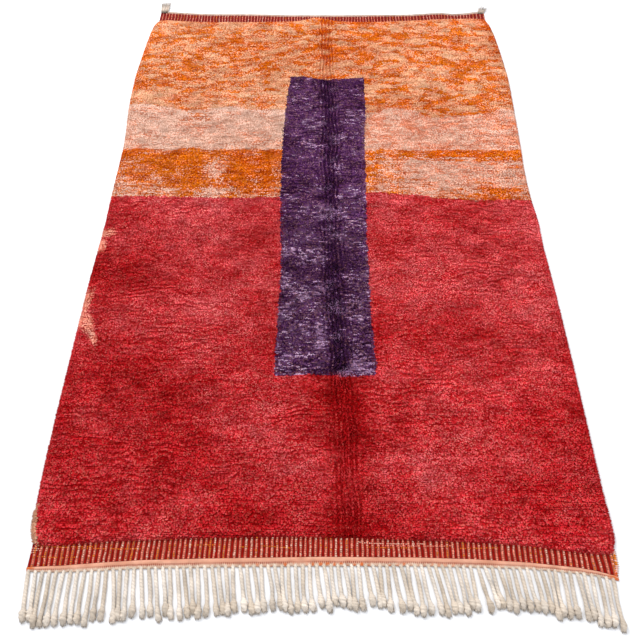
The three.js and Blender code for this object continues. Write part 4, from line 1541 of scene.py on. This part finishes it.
@dataclass
class Fringe:
    """The pale hem at the near end, and the twisted and knotted cords that come out of it.

    Attributes:
        count: Number of cords.
        half_span: Distance from the middle to the outermost cord.
        lay: How the cords lie.
        hem_x: Places across at which the hem's edges are known.
        weave_y: The hem's edge on the weave at each of these.
        cords_y: The hem's edge at the cords at each of these.
        radius: Radius of a cord.
        twist: Length in which the two plies turn once round each other.
        knot_length: Length of the knot.
        brush_length: Length of the loose ends past the knot.
        knot_spacing: Least distance between neighbouring tips.
        gather: How far tips gather in groups, to either side.
        root_depth: How far a cord reaches into the hem.
    """

    count: int = 84
    half_span: float = 897
    lay: tuple[CordLay, ...] = (
        CordLay(-897, 2, 144), CordLay(-840, 2, 158), CordLay(-770, 3, 156), CordLay(-720, 4, 160),
        CordLay(-640, 7, 150), CordLay(-560, 8, 152), CordLay(-470, 10, 148), CordLay(-340, 9, 148),
        CordLay(-270, 8, 134), CordLay(-170, 6, 138), CordLay(-70, 8, 140), CordLay(60, 11, 128),
        CordLay(200, 8, 134), CordLay(330, 7, 150), CordLay(480, 10, 132), CordLay(600, 6, 130),
        CordLay(720, 3, 140), CordLay(790, 1, 138), CordLay(840, -1, 146), CordLay(897, -3, 154),
    )
    hem_x: tuple[float, ...] = (-910, -800, -680, -560, -370, 0, 300, 480, 640, 800, 860, 920)
    weave_y: tuple[float, ...] = (
        -1485, -1480, -1470, -1462, -1456, -1448, -1448, -1452, -1460, -1475, -1486, -1502,
    )
    cords_y: tuple[float, ...] = (
        -1494, -1495, -1490, -1483, -1478, -1471, -1470, -1472, -1476, -1488, -1497, -1511,
    )
    radius: float = 6.2
    twist: float = 21.0
    knot_length: float = 22.0
    brush_length: float = 13.0
    knot_spacing: float = 18.5
    gather: float = 12.0
    root_depth: float = 3.0

    stations = 54
    around = 12
    locks_in_brush = 11
    cord_finish = YarnFinish("warp_wool", fibre_scale=330, tone=0.8, relief=0.0012, sheen=0.1)
    hem_finish = YarnFinish("hem_wool", fibre_scale=420, stretch=(1.6, 1, 1), tone=0.45, relief=0.0010)

    def cords(self) -> tuple[Array, Array, Array]:
        """Works out the cords in the same order as the rug's solids do.

        Returns:
            The root and the tip of each cord on the floor, and its sideways bow.
        """
        chance = chances(51)
        x_known, leans, lengths = zip(*((row.x, row.lean, row.length) for row in self.lay))
        last_tip = -math.inf
        rows = []
        for number in range(self.count):
            x = -self.half_span + number * 2 * self.half_span / (self.count - 1) + chance()
            root_y = float(np.interp(x, self.hem_x, self.cords_y))
            lean = math.radians(float(np.interp(x, x_known, leans)) + 1.6 * chance())
            length = float(np.interp(x, x_known, lengths)) + 9 * chance()
            tip_x = max(x + length * math.sin(lean), last_tip + self.knot_spacing)
            rows.append((x, root_y, tip_x, root_y - length * math.cos(lean), 3 * chance()))
            last_tip = tip_x
        table = np.array(rows)
        gathered = self.gather * ripple(table[:, 2] / 44, table[:, 2] * 0, 100)
        tip = table[:, 2:4] + np.column_stack([gathered, 0 * gathered])
        return table[:, :2], tip, table[:, 4]

    def cord_surface(self, root: Array, tip: Array, bow: Array) -> Surface:
        """Carries a two-ply section along every cord.

        The section's radius swells where a ply lies, and turns with the distance along the cord.
        The cord starts in the hem, comes down to the floor, and swells at its knot.

        Args:
            root: Where each cord leaves the hem.
            tip: Where each cord ends.
            bow: Sideways bow of each cord.

        Returns:
            All cords as one surface.
        """
        length = np.linalg.norm(tip - root, axis=1)[:, None]
        run = (tip - root) / length
        side = right_of(run)
        share = np.linspace(0, 1, self.stations)[None]
        along = -self.root_depth + share * (length + self.root_depth - 5)
        from_tip = length - along
        number = np.arange(self.count)[:, None]
        part = np.clip(along / length, 0, 1)
        waver = 3.2 * ripple(along / 62, number * 1.0, 81) + 1.0 * ripple(along / 24, number * 1.0, 90)
        sway = bow[:, None] * np.sin(math.pi * part) + waver * part
        from_knot = from_tip - self.brush_length - 0.4 * self.knot_length
        knot = np.exp(-((from_knot / (0.62 * self.knot_length)) ** 4))
        frayed = np.clip(0.5 + 0.5 * from_tip / self.brush_length, 0.6, 1)
        swell = 0.50 + 0.34 * lattice(number, 2, 96) + 0.22 * ripple(along / 6, number * 1.0, 70)
        radius = self.radius * (1 + 0.08 * ripple(along / 17, number * 1.0, 82) + swell * knot) * frayed
        radius = radius * np.interp(along, (-self.root_depth, 12), (0.55, 1))
        centre_z = radius * 0.86
        centre_x = root[:, :1] + run[:, :1] * along + side[:, :1] * sway
        centre_y = root[:, 1:] + run[:, 1:] * along + side[:, 1:] * sway
        angle = np.linspace(0, 2 * math.pi, self.around, endpoint=False)
        turn = 2 * math.pi * along / self.twist + 6 * lattice(number, 0, 83) + 2.4 * knot
        ply = np.abs(np.cos(angle - turn[..., None]))
        spread = radius[..., None] * (0.80 + 0.20 * ply ** 0.8)
        across = spread * np.cos(angle)
        upward = spread * np.sin(angle) * 0.9
        # The ring turns from the side of the cord upwards, which is counter-clockwise about its run
        x = centre_x[..., None] + side[:, 0, None, None] * across
        y = centre_y[..., None] + side[:, 1, None, None] * across
        z = np.maximum(centre_z[..., None] + upward, 0.15)
        tone = 0.5 + 0.5 * ripple(along / 60, number * 1.0, 84) + 0.3 * (lattice(number, 1, 85) - 0.5)
        # Painted shade in the grooves between the two plies
        wool = Dyes.CREAM.coloured(tone)[:, :, None] * (0.80 + 0.20 * ply)[..., None]
        return tubes(np.stack([x, y, z], -1), wool, columns=6)

    def brush_surface(self, root: Array, tip: Array) -> Surface:
        """Spreads short loose ends past each knot.

        Args:
            root: Where each cord leaves the hem.
            tip: Where each cord ends.

        Returns:
            All loose ends as one surface.
        """
        run = (tip - root) / np.linalg.norm(tip - root, axis=1, keepdims=True)
        side = right_of(run)
        lock, cord = np.meshgrid(np.arange(self.locks_in_brush), np.arange(self.count))
        lock, cord = lock.ravel(), cord.ravel()
        spread = (lock / (self.locks_in_brush - 1) - 0.5) * 2 + 0.4 * (lattice(lock, cord, 86) - 0.5)
        reach = 2 - 3 * spread ** 2 + 5 * (lattice(lock, cord, 87) - 0.5)
        level = 2.5 + 5 * lattice(lock, cord, 88)
        start = tip[cord] - run[cord] * (self.brush_length + 9) + side[cord] * (6.5 * spread)[:, None]
        end = tip[cord] + run[cord] * reach[:, None] + side[cord] * (8.0 * spread)[:, None]
        start = np.column_stack([start, level + 1])
        end = np.column_stack([end, np.maximum(level * 0.6, 1.2)])
        cream = Dyes.CREAM.coloured(1.2 * lattice(lock, cord, 89))
        cream = cream * (0.82 + 0.2 * lattice(cord, lock, 68))[:, None]
        radius = np.full(len(lock), 2.6)
        # Painted shade, darkest where the loose ends leave the knot
        return spindles(start, end, radius, 2.0 * lock, 0.6, (cream * 0.75, cream * 0.95, cream * 0.9))

    def hem_surface(self, root: Array) -> Surface:
        """Carries the hem's low rounded section across the rug, with a row of fine stitches.

        Orange shows in the gaps between the roots of the cords, mostly near the middle and at the
        two ends.

        Args:
            root: Where each cord leaves the hem.

        Returns:
            The hem as one closed surface.
        """
        x = np.linspace(-904, 913, 1300)
        weave = np.interp(x, self.hem_x, self.weave_y) - 0.3
        cords = np.interp(x, self.hem_x, self.cords_y) - 4 + 1.2 * ripple(x / 11, x * 0, 91)
        share = np.array([0, 0, 0.14, 0.28, 0.42, 0.50, 0.57, 0.64, 0.76, 0.88, 1.0, 1.0])
        level = np.array([0, 5.6, 7.4, 8.0, 7.6, 6.8, 6.2, 6.2, 5.9, 5.2, 3.4, 0])
        y = weave[:, None] * (1 - share) + cords[:, None] * share
        z = level * (1 + 0.05 * ripple(x[:, None] / 5, share * 9, 92))
        places = np.stack([np.broadcast_to(x[:, None], y.shape), y, z], -1)
        peach = Dyes.PEACH.coloured(0.5 + 0.5 * ripple(x[:, None] / 30, share * 2, 93))
        strand = 0.5 + 0.5 * ripple(x[:, None] / 5, share * 3, 94)
        cream = blended(dye(176, 138, 118), dye(222, 196, 174), strand)
        wool = blended(peach, cream, np.clip((share - 0.56) * 8, 0, 1))
        dots = np.clip(0.35 + 1.2 * np.sin(2 * math.pi * x / 6.0), 0, 1)[:, None]
        stitch = dots * (np.abs(share - 0.57) < 0.08)
        strength = np.clip(0.9 + 0.5 * ripple(x / 70, x * 0, 97), 0.3, 1)[:, None]
        wool = blended(wool, dye(126, 40, 22), stitch * strength)
        gap = np.abs(x[:, None] - root[:, 0]).min(axis=1) / 10.8 + 0.2 * ripple(x / 9, x * 0, 65)
        orange = np.interp(x, (-904, -896, -860, -330, -190, -60, 210, 330, 500, 880, 905, 913),
                           (1, 1, 0, 0, 0.6, 1, 1, 0.5, 0.2, 0.1, 1, 1))[:, None]
        patch = np.clip(3 * (gap - 0.35), 0, 1)[:, None] * np.clip(1.2 - 4.5 * np.abs(share - 0.80), 0, 1)
        patch = np.where(np.abs(x[:, None]) > 880, 1, patch)
        orange = orange * np.clip(0.45 + 1.2 * ripple(x[:, None] / 13, share * 3, 98), 0, 1)
        wool = blended(wool, dye(200, 96, 34), np.clip(1.3 * patch * orange, 0, 0.9))
        return tubes(places[None], wool[None])

    def leg_surface(self, root: Array) -> Surface:
        """Lays two short legs from each cord up over the hem.

        Args:
            root: Where each cord leaves the hem.

        Returns:
            All legs as one surface.
        """
        both = np.repeat(root, 2, axis=0)
        hand = np.tile([-1.0, 1.0], len(root))
        depth = np.abs(np.interp(both[:, 0], self.hem_x, self.weave_y) - both[:, 1])
        start = np.column_stack([both[:, 0] + 7.0 * hand, both[:, 1] + 0.24 * depth, np.full(len(both), 3.6)])
        end = np.column_stack([both[:, 0] + 1.6 * hand, both[:, 1] - 10, np.full(len(both), 4.6)])
        cream = Dyes.CREAM.coloured(0.3 + 0.5 * lattice(np.arange(len(both)), 0, 95))
        # Painted shade at both ends of each leg
        shades = (cream * 0.85, cream, cream * 0.85)
        return spindles(start, end, np.full(len(both), 2.4), hand, 0.5, shades)

    def build(self, workshop: Workshop) -> list[bpy.types.Object]:
        """Makes the cords with their brushes, and the hem with the legs of the cords."""
        root, tip, bow = self.cords()
        cords = joined([self.cord_surface(root, tip, bow), self.brush_surface(root, tip)])
        hem = joined([self.hem_surface(root), self.leg_surface(root)])
        return [
            workshop.piece("fringe_cords", cords, self.cord_finish, "warp_wool", ("fringe_near",)),
            workshop.piece("fringe_hem", hem, self.hem_finish, "warp_wool", ("fringe_near",)),
        ]


@dataclass
class CornerTuft:
    """A tuft of loose warp ends at a far corner.

    Attributes:
        node: The solid that it stands for.
        x: Place of its root across.
        y: Place of its root along.
        lean: Lean of its middle towards +X, in degrees.
        fan: How far its outer fibres lean away from its middle, in degrees.
        width: Width of its root.
        length: Length of its fibres.
        fibres: Number of fibres.
        seed: Which set of chances to use.
    """

    node: str
    x: float
    y: float
    lean: float
    fan: float
    width: float
    length: float
    fibres: int
    seed: int

    finish = YarnFinish("tuft_wool", fibre_scale=700, tone=0.4, relief=0.0006, sheen=0.25)

    def surface(self) -> Surface:
        """Fans long thin locks out from the root, some of them over others.

        Returns:
            The tuft as one surface.
        """
        number = np.arange(self.fibres)
        chance = [lattice(number, self.seed, 101 + k) - 0.5 for k in range(6)]
        place = number / (self.fibres - 1) * 2 - 1
        lean = np.radians(self.lean + self.fan * (place + 0.9 * chance[0]))
        reach = self.length * (1 + 0.35 * chance[1])
        start = np.column_stack([
            self.x + 0.5 * self.width * place * 0.9, self.y + 4 * chance[2], 7 + 3 * (chance[3] + 0.5),
        ])
        level = 1.5 + 8 * (chance[4] + 0.5)
        end = np.column_stack([start[:, 0] + reach * np.sin(lean), start[:, 1] + reach * np.cos(lean), level])
        cream = blended(dye(178, 154, 136), dye(212, 198, 184), chance[5] + 0.5)
        radius = 2.1 + 0.8 * chance[2]
        # Painted shade, darker towards the root
        return spindles(start, end, radius, 3.0 * number, 0.3, (cream * 0.85, cream * 0.95, cream))

    def build(self, workshop: Workshop) -> bpy.types.Object:
        """Makes the tuft."""
        return workshop.piece(self.node + "_fibres", self.surface(), self.finish, "warp_wool", (self.node,))


@dataclass
class Studio:
    """Plain pale floor, soft light, and the camera at the photo's angle.

    Attributes:
        camera_place: The camera's place on the loom, in millimetres.
        look_down: Angle of its view below the horizon, in degrees.
        turn: Turn of its view towards -X, in degrees.
        lens: Focal length for a sensor 36 mm wide.
    """

    camera_place: tuple[float, float, float] = (3.0, -1918.0, 2076.0)
    look_down: float = 56.91
    turn: float = 0.40
    lens: float = 36.0

    def floor(self) -> None:
        """Lays the floor a hair below the rug."""
        half, low = 30.0, -0.0004
        corners = [(-half, -half, low), (half, -half, low), (half, half, low), (-half, half, low)]
        mesh = bpy.data.meshes.new("floor")
        mesh.from_pydata(corners, [], [(0, 1, 2, 3)])
        material = bpy.data.materials.new("floor_white")
        material.use_nodes = True
        shader = material.node_tree.nodes["Principled BSDF"]
        shader.inputs["Base Color"].default_value = (0.80, 0.80, 0.815, 1)
        shader.inputs["Roughness"].default_value = 1.0
        shader.inputs["Specular IOR Level"].default_value = 0.0
        mesh.materials.append(material)
        floor = bpy.data.objects.new("floor", mesh)
        bpy.context.scene.collection.objects.link(floor)

    def lamp(self, name: str, place: tuple[float, float, float], size: float, power: float) -> None:
        """Hangs a square soft light that faces the rug's middle.

        Args:
            name: The light's name.
            place: Its place in metres.
            size: The length of its side.
            power: Its power in watts.
        """
        light = bpy.data.lights.new(name, "AREA")
        light.size = size
        light.energy = power
        lamp = bpy.data.objects.new(name, light)
        lamp.location = place
        distance = math.hypot(place[0], place[1])
        lamp.rotation_euler = (math.atan2(distance, place[2]), 0, math.atan2(place[0], -place[1]))
        bpy.context.scene.collection.objects.link(lamp)

    def camera(self) -> None:
        """Sets up the camera and makes it the scene's."""
        camera = bpy.data.cameras.new("camera")
        camera.lens = self.lens
        camera.sensor_width = 36
        camera.clip_end = 100
        holder = bpy.data.objects.new("camera", camera)
        holder.location = np.array(self.camera_place) * MM + LOOM
        holder.rotation_euler = (math.radians(90 - self.look_down), 0, math.radians(self.turn))
        bpy.context.scene.collection.objects.link(holder)
        bpy.context.scene.camera = holder

    def build(self) -> None:
        """Sets up floor, light and camera."""
        scene = bpy.context.scene
        scene.view_settings.view_transform = "Standard"
        world = bpy.data.worlds.new("studio")
        world.use_nodes = True
        world.node_tree.nodes["Background"].inputs["Color"].default_value = (0.95, 0.97, 1.0, 1)
        world.node_tree.nodes["Background"].inputs["Strength"].default_value = 0.8
        scene.world = world
        self.floor()
        self.lamp("key", (-2.6, 3.4, 5.0), 3.0, 400)
        self.lamp("fill", (2.5, -3.0, 5.5), 5.0, 110)
        self.camera()


def main() -> None:
    """Builds the rug and its studio."""
    logging.basicConfig(level=logging.INFO, format="%(name)s: %(message)s")
    lie = Lie()
    layout = Layout()
    workshop = Workshop(yarn_grain_group())
    on_ground = Pile(lie, layout).build(workshop)
    near_picks = (
        CrossPick(-890, -690, -1424, Dyes.ORANGE), CrossPick(-880, -760, -1456, Dyes.ORANGE),
        CrossPick(-760, -560, -1430, Dyes.ORANGE), CrossPick(-898, -872, -1416, Dyes.ORANGE),
        CrossPick(-900, -876, -1424, Dyes.PEACH), CrossPick(-902, -874, -1432, Dyes.BLUSH),
        CrossPick(-902, -872, -1438, Dyes.BLUSH), CrossPick(-902, -878, -1445, Dyes.BLUSH),
        CrossPick(-250, -90, -1420, Dyes.ORANGE), CrossPick(120, 330, -1404, Dyes.BLUSH),
        CrossPick(150, 300, -1416, Dyes.ORANGE), CrossPick(180, 420, -1411, Dyes.ROSE),
        CrossPick(430, 560, -1420, Dyes.ORANGE), CrossPick(-420, -330, -1417, Dyes.ORANGE),
    )
    near_end = FlatEnd(End.NEAR, 4.6, cross_picks=near_picks, bound=True, dark_share=0.40)
    far_end = FlatEnd(End.FAR, 2.0, hem_width=15, dark_share=0.62)
    on_ground += [near_end.build(workshop), far_end.build(workshop)]
    on_ground += Fringe().build(workshop)
    for tuft in (
        CornerTuft("corner_tuft_left", -894, 1476, -1, 4, 38, 112, 70, 1),
        CornerTuft("corner_tuft_right", 874, 1484, 24, 9, 26, 80, 44, 2),
    ):
        on_ground.append(tuft.build(workshop))
    ground = PileBody(lie, layout).build(workshop)
    Studio().build()


if __name__ == "__main__":
    main()
